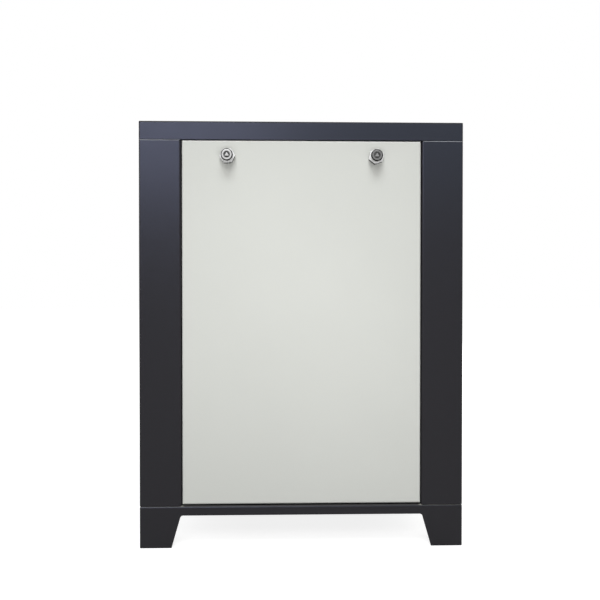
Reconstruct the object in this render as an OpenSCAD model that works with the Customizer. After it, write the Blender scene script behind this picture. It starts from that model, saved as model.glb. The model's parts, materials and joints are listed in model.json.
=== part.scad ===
// Refrigerated compressed-air dryer in a folded sheet-steel cabinet.
// The service face looks along -Y, the condenser face along +Y, the control face along +X
// and the port face along -X. Millimetres, +Z up, floor at z = 0, origin midway between the feet.

/* [Cabinet] */
// Width of the cabinet across the service face
cab_w = 520; // [500:5:640]
// Depth of the cabinet from the service face to the condenser face
cab_d = 700; // [680:5:900]
// Height of the cabinet from the floor to the top of the cover
cab_h = 683; // [660:1:800]
// Thickness of the cabinet sheet
sheet_t = 1.5; // [1.2:0.1:2]
// Inside radius of the sheet bends
bend_r = 1.5; // [1:0.1:2]
// Width of a corner post on each face
post_face = 67; // [60:1:74]
// Width of the stop flange that a panel closes against
stop_w = 16; // [14:1:20]
// Height of the lip round the top cover
cover_lip = 29.5; // [25:0.5:36]
// Open seam under the lip of the cover
seam_gap = 0.6; // [0.5:0.1:2]
// Rounding of the upper edge of a post
post_edge = 1.2; // [0.5:0.1:1.4]
// Rounding of the welded corners of the cover and the base
corner_r = 3; // [1:0.1:3]
// Width of the flange on a top rail that carries the cover
rail_flange = 25; // [22:1:32]
// How far a top rail hangs below the top edge of the panels
rail_hang = 13; // [12:1:16]

/* [Base] */
// Height of the base from the floor to its deck
base_h = 67; // [60:1:80]
// Thickness of the base sheet
base_t = 2; // [1.5:0.1:3]
// Height of the skirt between the legs
skirt_h = 15; // [13:1:22]
// Width of a foot at the floor
foot_w = 51; // [48:1:58]
// Width of a leg where it meets the skirt
leg_w = 66; // [60:1:74]
// Fillet between a leg and the skirt
leg_fillet = 5; // [3:0.5:8]
// Thickness of the plate under a leg
foot_plate_t = 3; // [2:0.5:5]
// How far that plate ends short of the width of the foot
foot_plate_back = 8; // [6:1:10]
// Diameter of a floor bolt hole
floor_hole_d = 12; // [10:0.5:14]
// Distance of a floor bolt hole from the two outer faces of its leg
floor_hole_inset = 30; // [24:1:36]

/* [Panels] */
// Depth of the service panel from its face to its back lip
panel_depth = 18; // [16:0.5:22]
// How far a panel face lies behind the posts
panel_inset = 1; // [0.5:0.1:2]
// Gap between the service panel and each post
panel_gap = 1.2; // [1:0.1:2.5]
// Width of the lip folded in behind a panel
panel_lip = 12; // [10:1:14]
// Gap under the service panel
panel_lift = 2.3; // [1:0.1:3]
// Room for the seal behind the service panel
seal_t = 3; // [2:0.1:4]
// Width of the seal strip
seal_w = 8; // [6:0.5:9]
// Height of the control fascia
fascia_h = 150; // [140:1:170]
// Width of a locating tab under the service panel
tab_w = 30; // [20:1:40]
// Thickness of a locating tab
tab_t = 2; // [1.5:0.1:2.5]
// How far a locating tab reaches below the top of the deck
tab_drop = 8; // [6:0.5:10]
// Distance between the two locating tabs
tab_pitch = 240; // [160:5:280]
// Shank diameter of a cabinet screw
screw_d = 6; // [5:0.5:6]
// Head diameter of a cabinet screw
screw_head_d = 11; // [9:0.5:12]

/* [Louvres] */
// Length of a louvre between its rounded ends
louvre_len = 130; // [100:1:140]
// Radius of a louvre hood
louvre_r = 8; // [6:0.5:10]
// Height from one louvre to the next
louvre_pitch = 24; // [22:1:28]
// Louvres in a column on the condenser panel
condenser_rows = 16; // [8:1:17]
// Louvres in a column on the port panel
port_rows = 9; // [4:1:12]

/* [Latches] */
// Distance between the two latches
latch_pitch = 237; // [160:1:280]
// Drop of a latch axis below the top edge of the panel
latch_drop = 26.5; // [26:0.5:32]
// Width across the flats of a latch collar
collar_af = 22; // [19.5:0.5:23]
// Thickness of a latch collar
collar_t = 8; // [5:0.5:10]
// Angle at which the collar of the left latch stands after tightening
collar_turn_left = 56; // [0:1:59]
// Angle at which the collar of the right latch stands after tightening
collar_turn_right = 40; // [0:1:59]
// Diameter of a latch barrel
barrel_d = 19.2; // [18:0.1:19.4]
// Length of a latch barrel in front of its collar
barrel_len = 9; // [8:0.5:18]
// Rounding of the front edge of a latch barrel
barrel_edge = 2.2; // [0.5:0.1:2.5]
// Diameter of the key recess in a latch
recess_d = 10.6; // [10.4:0.1:12]
// Depth of the key recess in a latch
recess_depth = 7; // [5:0.5:9]
// Side of the three-cornered key stud in a latch
stud_side = 7; // [6:0.1:7.6]
// Outside diameter of the threaded shank of a latch
shank_d = 17; // [16:0.1:18]
// Reach of a latch cam from its axis
cam_reach = 24; // [22:0.5:26]
// Width of a latch cam
cam_w = 14; // [12:0.5:16]
// Thickness of a latch cam
cam_t = 2.5; // [2:0.1:3]

/* [Refrigeration] */
// Diameter of the compressor shell
comp_d = 170; // [150:1:180]
// Height of the compressor shell
comp_h = 210; // [180:1:240]
// Side of the square compressor base plate
comp_base = 200; // [190:1:205]
// Height of a compressor rubber mount
mount_h = 18; // [12:1:24]
// Width of the condenser between its end plates
cond_w = 344; // [320:8:360]
// Height of the condenser
cond_h = 400; // [360:1:420]
// Thickness of the condenser
cond_t = 44; // [40:1:52]
// Tubes in each of the two condenser rows, an even number
tubes_per_row = 8; // [6:2:8]
// Outside diameter of the refrigerant tubes
tube_d = 9.5; // [8:0.1:10]
// Distance between the condenser fins
fin_pitch = 8; // [7:0.5:12]
// Diameter of the fan
fan_d = 290; // [250:1:300]
// Number of fan blades
fan_blade_count = 5; // [4:1:7]
// Depth of the fan shroud
shroud_depth = 45; // [42:1:52]
// Diameter of the fan motor
motor_d = 84; // [76:1:90]
// Length of the fan motor
motor_len = 75; // [60:1:85]
// Diameter of the fan shaft
shaft_d = 8; // [6:0.5:10]

/* [Air side] */
// Width of the heat exchanger across the cabinet
ex_w = 180; // [160:1:190]
// Depth of the heat exchanger along the cabinet
ex_d = 220; // [200:1:230]
// Height of the heat exchanger
ex_h = 320; // [280:1:330]
// Height of the stand under the heat exchanger
stand_h = 180; // [170:1:195]
// Bore of an air port, the core diameter of its pipe thread
port_bore_d = 30.3; // [26:0.1:32]
// Length of the thread in an air port
port_thread = 22; // [18:1:26]
// Outside diameter of an air pipe
port_pipe_d = 33.7; // [33:0.1:36]
// Width across the flats of an air port
port_af = 46; // [44:1:50]
// Distance between the two air ports
port_pitch = 110; // [100:1:120]
// Diameter of the water separator
sep_d = 84; // [70:1:90]
// Bore of the drain fitting, for a plastic tube
drain_bore_d = 10.2; // [8:0.1:12]
// Bore of the cable gland
gland_bore_d = 12; // [9:0.5:13]

/* [Controls] */
// Diameter of a gauge body
gauge_d = 58; // [52:1:60]
// Diameter of a push button
button_d = 20; // [18:0.5:20.5]
// Travel of a push button
button_travel = 3.5; // [2:0.5:4]
// Distance of the outer controls from the ends of the fascia
control_margin = 73; // [66:1:90]

/* [Hidden] */
$fn = 48;

// Clearances
cut = 1;
fit = 0.1;
run_gap = 0.3;
screw_room = 0.3;

// Cabinet planes; v runs inward from an outer face, u along it
hw = cab_w/2;
hd = cab_d/2;
bend_o = bend_r + sheet_t;
deck_z = base_h;
cover_z = cab_h - cover_lip;
post_top = cover_z - seam_gap;
stop_v = panel_inset + panel_depth + seal_t;
back_v = stop_v + sheet_t;
open_x = cab_w - 2*post_face;
open_y = cab_d - 2*post_face;
in_x = hw - back_v;
in_y = hd - back_v;
rail_z0 = post_top - rail_hang;
rail_top = cab_h - sheet_t;
rail_seat_len = 12;
rail_seat_room = 2;
stud_len = 11;
stud_v = stop_v + 0.6*rail_flange;

// Panels
panel_z0 = deck_z + panel_lift;
panel_h = post_top - panel_z0;
fixed_depth = panel_depth + seal_t;
fixed_gap = max(panel_gap, bend_r + fit);
fascia_z = post_top - fascia_h;
lower_h = fascia_z - seam_gap - deck_z;
screw_edge = 40;
screw_tail = 5;
head_h = 0.3*screw_head_d;
nut_h = 0.8*screw_d;
nut_af = 1.66*screw_d;
tall_zs = [deck_z + screw_edge, (deck_z + post_top)/2, post_top - screw_edge];
lower_zs = [deck_z + screw_edge, fascia_z - seam_gap - screw_edge];
fascia_zs = [fascia_z + screw_edge/2, post_top - screw_edge/2];
tilt_max = 20;
slot_room = 1;
tab_v = panel_inset + panel_depth/2 + slot_room;
tab_swing = (tab_drop + panel_lift + bend_o)*sin(tilt_max);
tab_shoulder = 4;

// Louvre columns
louvre_in = louvre_r - sheet_t;
louvre_half = louvre_len/2 + louvre_r;
column_gap = 14;
column_u = louvre_half + column_gap/2;
condenser_louvre_up = 60;
port_louvre_up = 130;
condenser_louvre_z = deck_z + condenser_louvre_up;
port_louvre_z = deck_z + port_louvre_up;

// Latches; v measured on the service face
latch_z = post_top - latch_drop;
latch_front = panel_inset - collar_t - barrel_len;
core_d = 8.5;
core_square = 6;
core_flange_t = 2;
stud_turn = 30;
recess_floor = latch_front + recess_depth;
cam_v = back_v + run_gap;
cam_hub_wall = 1;
cam_hub_d = cam_w + 2*cam_hub_wall;
latch_nut_t = 5;
latch_nut_wall = 3;
latch_nut_af = shank_d + 2*latch_nut_wall;
shank_tail = 3;
shank_end = panel_inset + sheet_t + latch_nut_t + shank_tail;
cam_screw_t = 3;

// Condenser and fan
cond_clear = 12;
cond_lift = 24;
cond_y1 = in_y - cond_clear;
cond_y0 = cond_y1 - cond_t;
cond_z = deck_z + cond_lift;
end_plate_t = 2;
end_foot = 20;
fin_t = 0.6;
sleeve_t = 0.8;
tube_pitch = cond_h/tubes_per_row;
rows_y = [cond_y1 - cond_t/4, cond_y1 - 3*cond_t/4];
function tube_z(k) = cond_z + tube_pitch*(k + 0.5);
coil_out = 5;
coil_end = cond_w/2 + end_plate_t + coil_out;
fan_z = cond_z + cond_h/2;
fan_tip_gap = 6;
ring_r = fan_d/2 + fan_tip_gap;
ring_flange = 14;
hub_r = 0.25*fan_d/2;
hub_len = 0.7*shroud_depth;
hub_y = cond_y0 - (shroud_depth - hub_len)/2 - sheet_t;
guard_t = 3;
guard_wire = 4;
guard_y = cond_y0 - shroud_depth;
motor_y = guard_y - guard_t;
motor_end = motor_y - motor_len;
blade_t = 1.6;
blade_chord = 0.26*fan_d;
blade_camber_r = 1.2*blade_chord;
blade_pitch = 25;

// Compressor
comp_side = 15;
comp_front = 40;
comp_plate_t = 4;
comp_x = in_x - comp_side - comp_base/2;
comp_y = -in_y + comp_front + comp_base/2;
comp_z = deck_z + mount_h + comp_plate_t;
comp_top = comp_z + comp_h;
comp_dome = 0.24*comp_d;
ear_inset = 18;
comp_ear = comp_base/2 - ear_inset;
mount_bolt_d = 8;
mount_d = 30;

// Air side
ex_side = 18;
ex_front = 135;
stand_t = 3;
stand_leg = 26;
ex_x = -in_x + ex_side + ex_w/2;
ex_y = -in_y + ex_front + ex_d/2;
ex_z = deck_z + stand_h + stand_t;
ex_corner = 14;
ex_x1 = ex_x + ex_w/2;
ex_y1 = ex_y + ex_d/2;
port_drop = 55;
port_z = ex_z + ex_h - port_drop;
port_ys = [ex_y - port_pitch/2, ex_y + port_pitch/2];
port_socket = 15;
port_stand_off = 8;
port_end_wall = 12;
port_len = port_thread + port_end_wall;
port_step = 2;
port_pipe_bore = port_bore_d - 2*port_step;
grommet_wall = 8;
grommet_neck_d = port_pipe_d + 2*grommet_wall;
grommet_lip = 4;
grommet_lip_t = 3;

// Drain train, running from the separator towards the service face
drain_up = 40;
drain_z = deck_z + drain_up;
spout_d = 16;
spout_bend = 16;
spout_end = 8;
sep_z = drain_z + spout_bend + spout_end;
sep_corner = 0.28*sep_d;
valve_y0 = ex_y - spout_bend - spout_end;
valve_len = 44;
valve_hex = 10;
valve_hex_wall = 2;
valve_d = 26;
nipple_len = 26;
nipple_d = 14;
stem_y = valve_y0 - valve_len/2;
stem_d = 8;
lever_up = 8;
lever_z = drain_z + valve_d/2 + lever_up;
lever_t = 3;
lever_w = 15;
lever_hub_d = 20;
solenoid_y0 = valve_y0 - valve_len - nipple_len;
solenoid_len = 40;
solenoid_w = 28;
coil_w = 34;
coil_h = 42;
lever_room = 5;
lever_len = valve_len/2 + nipple_len + solenoid_len/2 - coil_w/2 - lever_w/2 - lever_room;
drain_tube_d = 10;
drain_bend = 16;
drain_run = 6;
outlet_y = solenoid_y0 - solenoid_len - drain_bend - drain_run;
outlet_af = 20;
outlet_len = 20;
bulkhead_d = 16;
bulkhead_nut_t = 5;
bulkhead_nut_wall = 4;
hose_seat = 4;
gland_out = 51.5;
gland_y = ex_y + gland_out;
gland_up = 50;
gland_z = deck_z + gland_up;
gland_thread_wall = 4;
gland_thread_d = gland_bore_d + 2*gland_thread_wall;
gland_wall = 7;
gland_af = gland_bore_d + 2*gland_wall;

// Refrigerant lines
tube_r = tube_d/2;
tube_bend = 2*tube_d;
socket_in = 4;
port_dx = 22;
dis_x = comp_x + port_dx;
suc_x = comp_x - port_dx;
tee_rise = 50;
tee_z = comp_top + tee_rise;
tee_wall = 3.5;
tee_d = tube_d + 2*tee_wall;
tee_len = 26;
run_rise = 140;
run_z = comp_top + run_rise;
line_gap = 5;
run_x = coil_end + tube_pitch/2 + tube_d + line_gap;
line_x = coil_end + tube_bend + line_gap;
drier_d = 40;
drier_len = 120;
drier_up = 25;
drier_z = tube_z(0) + tube_bend + drier_up;
drier_top = drier_z + drier_len;
motor_room = 15;
liquid_z = fan_z + motor_d/2 + motor_room + tube_r;
valve_off = 42;
valve_neck = 22;
valve_body_d = 24;
valve_head_d = 40;
expansion_out = 30;
expansion_x = ex_x + expansion_out;
expansion_y = ex_y1 + valve_off;
valve_room = 8;
drier_y = expansion_y + valve_neck + tube_bend + valve_room;
hot_out = 70;
hot_y = comp_y + hot_out;
hot_x = ex_x1 + valve_off;
suction_out = 20;
suction_y = ex_y + suction_out;
suction_rise = 60;
suction_z = tee_z + suction_rise;

// Electrical tray and controls
tray_set = 110;
tray_x = hw - tray_set;
tray_w = 220;
tray_drop = 140;
tray_lip = 14;
tray_z = rail_top - sheet_t;
contactor_w = 54;
contactor_h = 78;
contactor_d = 52;
control_z = fascia_z + fascia_h/2;
control_steps = 5;
function control_u(i) = (i/control_steps - 0.5)*(open_y - 2*control_margin);
gauge_us = [control_u(0), control_u(1)];
lamp_us = [control_u(2), control_u(3)];
button_us = [control_u(4), control_u(5)];
gauge_depth = 28;
gauge_bezel = 4;
gauge_bezel_t = 7;
gauge_wall = 2;
dial_sink = 3;
dial_v = panel_inset + dial_sink;
lens_t = 2;
lens_sink = 1.5;
lens_v = panel_inset - gauge_bezel_t + lens_sink;
pin_d = 2.4;
needle_v = panel_inset;
needle_t = 1;
needle_len = 0.36*gauge_d;
needle_hub_d = 8;
needle_zero = 135;
bezel_rim = 4.75;
bezel_d = button_d + 2*bezel_rim;
bezel_t = 4;
bezel_wall = 1.2;
bezel_tube = button_d + 2*bezel_wall;
bezel_depth = 20;
contact_w = 26;
contact_len = 18;
button_proud = 3;

frame_blue = "#434654";
panel_white = "#d9dad5";
bare_steel = "#a9abad";
bright = "#c9ccd0";
copper = "#b8734a";
brass = "#b59a52";
black = "#1f2022";

// Places on the four faces
module on_service() translate([0, -hd, 0]) children();
module on_condenser() rotate(180) translate([0, -hd, 0]) children();
module on_control() rotate(90) translate([0, -hw, 0]) children();
module on_port() rotate(-90) translate([0, -hw, 0]) children();
module inward() rotate([-90, 0, 0]) children();
module along_y() rotate([90, 0, 0]) children();

// Rectangle with its two upper corners rounded
module round_top(w, h, r) {
  translate([-w/2, 0]) square([w, h - r]);
  translate([-w/2 + r, h - 2*r]) square([w - 2*r, 2*r]);
  for (s = [-1, 1]) translate([s*(w/2 - r), h - r]) circle(r);
}

// Rectangle with four rounded corners
module round_rect(w, h, r) {
  square([w - 2*r, h], center = true);
  square([w, h - 2*r], center = true);
  for (s = [-1, 1], t = [-1, 1]) translate([s*(w/2 - r), t*(h/2 - r)]) circle(r);
}

// Solid box with its four top edges rounded as a folded sheet's are
module pan_solid(w, d, h, r) {
  intersection() {
    rotate([90, 0, 0]) linear_extrude(d, center = true) round_top(w, h, r);
    rotate([90, 0, 90]) linear_extrude(w, center = true) round_top(d, h, r);
  }
}

// Folded pan, open below
module pan_shell(w, d, h, t) {
  difference() {
    pan_solid(w, d, h, bend_r + t);
    translate([0, 0, -cut]) pan_solid(w - 2*t, d - 2*t, h - t + cut, bend_r);
  }
}

// Pan whose upright corners are welded and ground round
module ground_corners(h) {
  intersection() {
    children();
    translate([0, 0, -cut]) linear_extrude(h + 2*cut) round_rect(cab_w, cab_d, corner_r);
  }
}

// Folded panel with a back lip; its face is the plane y = 0
module pan_panel(w, h, depth) {
  translate([0, depth, h/2]) rotate([90, 0, 0]) difference() {
    pan_solid(w, h, depth, bend_o);
    translate([0, 0, sheet_t]) pan_solid(w - 2*sheet_t, h - 2*sheet_t, depth - 2*sheet_t, bend_r);
    cube([w - 2*panel_lip, h - 2*panel_lip, 2*(sheet_t + cut)], center = true);
  }
}

function unit(v) = v/norm(v);

// Section of a folded sheet along a mid-line with right-angled bends
module bent_strip(pts, t, r) {
  n = len(pts);
  rm = r + t/2;
  for (i = [0:n - 2]) {
    a = unit(pts[i + 1] - pts[i]);
    p0 = pts[i] + (i == 0 ? [0, 0] : a*rm);
    p1 = pts[i + 1] - (i == n - 2 ? [0, 0] : a*rm);
    translate(p0) rotate(atan2(a.y, a.x)) translate([0, -t/2]) square([norm(p1 - p0), t]);
  }
  for (i = [1:n - 2]) {
    a = unit(pts[i] - pts[i - 1]);
    b = unit(pts[i + 1] - pts[i]);
    far = 2*(r + t);
    translate(pts[i] + (b - a)*rm) intersection() {
      difference() {
        circle(r + t);
        circle(r);
      }
      polygon([[0, 0], -b*far, (a - b)*far, a*far]);
    }
  }
}

// Bent tube of radius r through a list of points
module pipe(pts, r, bend) {
  n = len(pts);
  for (i = [0:n - 2]) {
    d = unit(pts[i + 1] - pts[i]);
    k0 = i == 0 ? 0 : bend*tan(acos(d*unit(pts[i] - pts[i - 1]))/2);
    k1 = i == n - 2 ? 0 : bend*tan(acos(d*unit(pts[i + 2] - pts[i + 1]))/2);
    translate(pts[i] + d*k0) rotate([0, acos(d.z), atan2(d.y, d.x)])
      cylinder(r = r, h = norm(pts[i + 1] - pts[i]) - k0 - k1);
  }
  for (i = [1:n - 2]) {
    a = unit(pts[i] - pts[i - 1]);
    b = unit(pts[i + 1] - pts[i]);
    ang = acos(a*b);
    c = pts[i] + unit(b - a)*bend/cos(ang/2);
    ex = unit(pts[i] - a*bend*tan(ang/2) - c);
    ez = cross(ex, a);
    multmatrix([[ex.x, a.x, ez.x, c.x], [ex.y, a.y, ez.y, c.y], [ex.z, a.z, ez.z, c.z], [0, 0, 0, 1]])
      rotate_extrude(angle = ang) translate([bend, 0]) circle(r);
  }
}

// Hexagonal bar along z with chamfered corners
module hex_bar(af, h) {
  corner = af/cos(30)/2;
  chamfer = corner - af/2;
  intersection() {
    cylinder(r = corner, h = h, $fn = 6);
    rotate_extrude()
      polygon([[0, 0], [af/2, 0], [corner, chamfer], [corner, h - chamfer], [af/2, h], [0, h]]);
  }
}

// Turned cup shape: a cylinder with its lower and upper rims rounded
module rounded_drum(r, h, low, high) {
  rotate_extrude() intersection() {
    union() {
      translate([-r, low]) square([2*r, h - low - high]);
      translate([-r + low, 0]) square([2*(r - low), h]);
      translate([-r + high, low]) square([2*(r - high), h - low]);
      translate([r - low, low]) circle(low);
      translate([r - high, h - high]) circle(high);
    }
    square([r, h]);
  }
}

// Screws and nuts of the cabinet
module panel_screws_at(open, zs) {
  for (s = [-1, 1], z = zs) translate([s*(open/2 - fixed_gap - panel_lip/2), 0, z]) inward() children();
}

module every_panel_screw() {
  on_condenser() panel_screws_at(open_x, tall_zs) children();
  on_control() panel_screws_at(open_y, lower_zs) children();
  on_control() panel_screws_at(open_y, fascia_zs) children();
  on_port() panel_screws_at(open_y, tall_zs) children();
}

module panel_screw_holes() {
  every_panel_screw() translate([0, 0, -cut]) cylinder(d = screw_d + 2*screw_room, h = back_v + 2*cut);
}

module cover_studs_at(open) {
  for (s = [-1, 1]) translate([s*open/4, stud_v, rail_top - stud_len]) children();
}

module end_studs() {
  on_service() cover_studs_at(open_x) children();
  on_condenser() cover_studs_at(open_x) children();
}

module side_studs() {
  on_control() cover_studs_at(open_y) children();
  on_port() cover_studs_at(open_y) children();
}

module stud_hole() cylinder(d = screw_d + 2*screw_room, h = stud_len + cut);

module button_screw() {
  head_r = screw_head_d/2;
  crown = (head_r*head_r + head_h*head_h)/(2*head_h);
  socket = 0.66*screw_d;
  root = 0.3*head_h;
  translate([0, 0, panel_inset]) {
    difference() {
      mirror([0, 0, 1]) rotate_extrude() intersection() {
        translate([0, head_h - crown]) circle(crown);
        square([head_r, head_h]);
      }
      translate([0, 0, -head_h - cut]) cylinder(d = socket, h = 0.6*head_h + cut, $fn = 6);
    }
    translate([0, 0, -root]) cylinder(d = screw_d, h = root + fixed_depth + sheet_t + screw_tail);
  }
}

module cover_nut() {
  translate([0, 0, stud_len - sheet_t - nut_h]) difference() {
    hex_bar(nut_af, nut_h);
    translate([0, 0, -cut]) cylinder(d = screw_d + 2*fit, h = nut_h + 2*cut);
  }
}

module cabinet_fasteners() {
  color(bare_steel) {
    every_panel_screw() button_screw();
    end_studs() cover_nut();
    side_studs() cover_nut();
  }
}

// Base: a folded tray on four legs, with the gaps between the legs cut from its sides
module leg_gap(w, span) {
  h = base_h - skirt_h;
  slope = (leg_w - foot_w)/h;
  lean = sqrt(1 + slope*slope);
  corner = acos(-slope/lean);
  reach = leg_fillet/tan(corner/2);
  x0 = w/2 - foot_w + slope*cut;
  x1 = w/2 - leg_w;
  side = [x1 + slope*reach/lean, h - reach/lean];
  rotate([90, 0, 0]) linear_extrude(span + 2*cut, center = true) {
    polygon([[-x0, -cut], [x0, -cut], side, [x1 - reach, h], [reach - x1, h], [-side.x, side.y]]);
    for (s = [-1, 1]) translate([s*(x1 - reach), h - leg_fillet]) circle(leg_fillet);
  }
}

module at_feet() {
  for (sx = [-1, 1], sy = [-1, 1])
    translate([sx*(hw - floor_hole_inset), sy*(hd - floor_hole_inset), 0]) children();
}

module foot_plates() {
  inner = foot_w - foot_plate_back;
  side = inner - base_t/2;
  inset = (inner + base_t/2)/2;
  for (sx = [-1, 1], sy = [-1, 1])
    translate([sx*(hw - inset), sy*(hd - inset), foot_plate_t/2])
      cube([side, side, foot_plate_t], center = true);
}

module at_compressor_ears() {
  for (sx = [-1, 1], sy = [-1, 1])
    translate([comp_x + sx*comp_ear, comp_y + sy*comp_ear, deck_z]) children();
}

module tab_slots() {
  on_service() for (s = [-1, 1])
    translate([s*tab_pitch/2 - tab_w/2 - slot_room, tab_v - slot_room, deck_z - base_t - cut])
      cube([tab_w + 2*slot_room, tab_t + tab_swing + 2*slot_room, base_t + 2*cut]);
}

module base_pan() {
  color(frame_blue) ground_corners(base_h) difference() {
    union() {
      difference() {
        pan_shell(cab_w, cab_d, base_h, base_t);
        leg_gap(cab_w, cab_d);
        rotate(90) leg_gap(cab_d, cab_w);
      }
      foot_plates();
    }
    at_feet() translate([0, 0, -cut]) cylinder(d = floor_hole_d, h = foot_plate_t + 2*cut);
    at_compressor_ears() translate([0, 0, -base_t - cut])
      cylinder(d = mount_bolt_d + 2*screw_room, h = base_t + 2*cut);
    tab_slots();
  }
}

// Seat welded behind the stop flange of a post, which carries the end of a top rail
module rail_seat() {
  lap = stop_w - 2*rail_seat_room;
  high = rail_hang - 2*rail_seat_room;
  translate([post_face + rail_seat_room, stop_v, rail_z0 + rail_seat_room - deck_z]) {
    translate([0, sheet_t/2, 0]) cube([lap, sheet_t, high]);
    translate([0, sheet_t, 0]) cube([stop_w + rail_seat_len, sheet_t, high]);
  }
}

// Corner posts: folded with a stop flange for the panel on each side
module post(sx, sy) {
  t = sheet_t;
  long = post_top - deck_z;
  stop = stop_v + t/2;
  web = post_face - t/2;
  path = [
    [post_face + stop_w, stop], [web, stop], [web, t/2], [t/2, t/2],
    [t/2, web], [stop, web], [stop, post_face + stop_w]
  ];
  color(frame_blue) difference() {
    intersection() {
      translate([sx*hw, sy*hd, deck_z]) mirror([sx > 0 ? 1 : 0, 0, 0]) mirror([0, sy > 0 ? 1 : 0, 0]) {
        linear_extrude(long) bent_strip(path, t, bend_r);
        rail_seat();
        mirror([1, -1, 0]) rail_seat();
      }
      translate([0, 0, deck_z]) pan_solid(cab_w, cab_d, long, post_edge);
    }
    panel_screw_holes();
  }
}

module post_service_left() post(-1, -1);
module post_service_right() post(1, -1);
module post_condenser_left() post(-1, 1);
module post_condenser_right() post(1, 1);

// Top rails: angles that tie the posts together and carry the cover
module rail(open) {
  t = sheet_t;
  long = open - 2*stop_w - 2*run_gap;
  web = stop_v + t/2;
  path = [[web, rail_z0], [web, rail_top - t/2], [stop_v + rail_flange, rail_top - t/2]];
  difference() {
    rotate([90, 0, 90]) linear_extrude(long, center = true) bent_strip(path, t, bend_r);
    cover_studs_at(open) stud_hole();
  }
}

module end_rails() {
  color(frame_blue) {
    on_service() rail(open_x);
    on_condenser() rail(open_x);
  }
}

module side_rails() {
  color(frame_blue) {
    on_control() rail(open_y);
    on_port() rail(open_y);
  }
}

module top_cover() {
  color(frame_blue) {
    translate([0, 0, cover_z]) ground_corners(cover_lip) pan_shell(cab_w, cab_d, cover_lip, sheet_t);
    end_studs() cylinder(d = screw_d, h = stud_len + sheet_t/2);
    side_studs() cylinder(d = screw_d, h = stud_len + sheet_t/2);
  }
}

// Louvre: a pressed quarter-round hood, open below
module quarter(r) intersection() {
  circle(r);
  square(r);
}

module louvre_form(r, back) {
  rotate([90, 0, -90]) linear_extrude(louvre_len, center = true) {
    quarter(r);
    translate([-back, 0]) square([back, r]);
  }
  for (s = [0, 1]) mirror([s, 0, 0]) translate([louvre_len/2, 0, 0]) {
    rotate(-90) rotate_extrude(angle = 90) quarter(r);
    rotate([90, 0, 0]) translate([0, 0, -back]) linear_extrude(back) quarter(r);
  }
}

module louvre_grid(us, rows, z) {
  for (u = us, i = [0:rows - 1]) translate([u, 0, z + i*louvre_pitch]) children();
}

module louvred(us, rows, z) {
  difference() {
    union() {
      children();
      louvre_grid(us, rows, z) louvre_form(louvre_r, sheet_t/2);
    }
    louvre_grid(us, rows, z) louvre_form(louvre_in, sheet_t + cut);
  }
}

module fixed_panel(open, z, h) {
  translate([0, 0, z]) pan_panel(open - 2*fixed_gap, h, fixed_depth);
}

module condenser_panel() {
  color(panel_white) difference() {
    on_condenser() translate([0, panel_inset, 0])
      louvred([-column_u, column_u], condenser_rows, condenser_louvre_z)
        fixed_panel(open_x, deck_z, post_top - deck_z);
    panel_screw_holes();
  }
}

module front_lower_panel() {
  color(panel_white) difference() {
    on_control() translate([0, panel_inset, 0]) fixed_panel(open_y, deck_z, lower_h);
    panel_screw_holes();
  }
}

module control_fascia() {
  color(frame_blue) difference() {
    on_control() translate([0, panel_inset, 0]) fixed_panel(open_y, fascia_z, fascia_h);
    panel_screw_holes();
    at_controls(gauge_us) panel_bore(gauge_d);
    at_controls(concat(lamp_us, button_us)) panel_bore(bezel_tube + 2*fit);
  }
}

// Places on the port face, with z running inward
module at_port_face(y, z) {
  on_port() translate([-y, 0, z]) inward() children();
}

module panel_bore(d) translate([0, 0, panel_inset - cut]) cylinder(d = d, h = sheet_t + 2*cut);

module port_panel() {
  far_us = [-open_y/4 - column_u/2, -open_y/4 + 3*column_u/2];
  color(panel_white) difference() {
    on_port() translate([0, panel_inset, 0]) louvred(far_us, port_rows, port_louvre_z)
      fixed_panel(open_y, deck_z, post_top - deck_z);
    panel_screw_holes();
    for (y = port_ys) at_port_face(y, port_z) panel_bore(grommet_neck_d + 2*fit);
    at_port_face(outlet_y, drain_z) panel_bore(bulkhead_d + 2*fit);
    at_port_face(gland_y, gland_z) panel_bore(gland_thread_d + 2*fit);
  }
}

// Condenser: fin pack with collars between two end plates, and one serpentine tube
module at_tubes() {
  for (y = rows_y, k = [0:tubes_per_row - 1])
    translate([0, y, tube_z(k)]) rotate([0, 90, 0]) children();
}

module condenser_core() {
  fins = floor((cond_w - fin_pitch)/fin_pitch);
  sleeve_d = tube_d + 2*fit + 2*sleeve_t;
  color(bright) difference() {
    union() {
      for (i = [0:fins])
        translate([(i - fins/2)*fin_pitch - fin_t/2, cond_y0, cond_z]) cube([fin_t, cond_t, cond_h]);
      at_tubes() cylinder(d = sleeve_d, h = cond_w + end_plate_t, center = true);
      for (s = [0, 1]) mirror([s, 0, 0]) {
        translate([cond_w/2, cond_y0, deck_z]) cube([end_plate_t, cond_t, cond_lift + cond_h]);
        translate([cond_w/2, cond_y0, deck_z]) cube([end_foot, cond_t, end_plate_t]);
      }
    }
    at_tubes() cylinder(d = tube_d + 2*fit, h = cond_w + 4*end_plate_t, center = true);
  }
}

module return_bend(p, turn, radius) {
  translate(p) multmatrix(turn) rotate_extrude(angle = 180) translate([radius, 0]) circle(tube_r);
}

module condenser_coil() {
  up = [[0, 1, 0, 0], [0, 0, 1, 0], [-1, 0, 0, 0], [0, 0, 0, 1]];
  across = [[0, 1, 0, 0], [1, 0, 0, 0], [0, 0, -1, 0], [0, 0, 0, 1]];
  color(copper) {
    at_tubes() cylinder(r = tube_r, h = 2*coil_end, center = true);
    for (y = rows_y, k = [0:tubes_per_row - 2]) {
      z = tube_z(k + 0.5);
      if (k % 2 == 0) mirror([1, 0, 0]) return_bend([coil_end, y, z], up, tube_pitch/2);
      else return_bend([coil_end, y, z], up, tube_pitch/2);
    }
    return_bend([coil_end, (rows_y[0] + rows_y[1])/2, tube_z(tubes_per_row - 1)], across, cond_t/4);
  }
}

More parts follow.
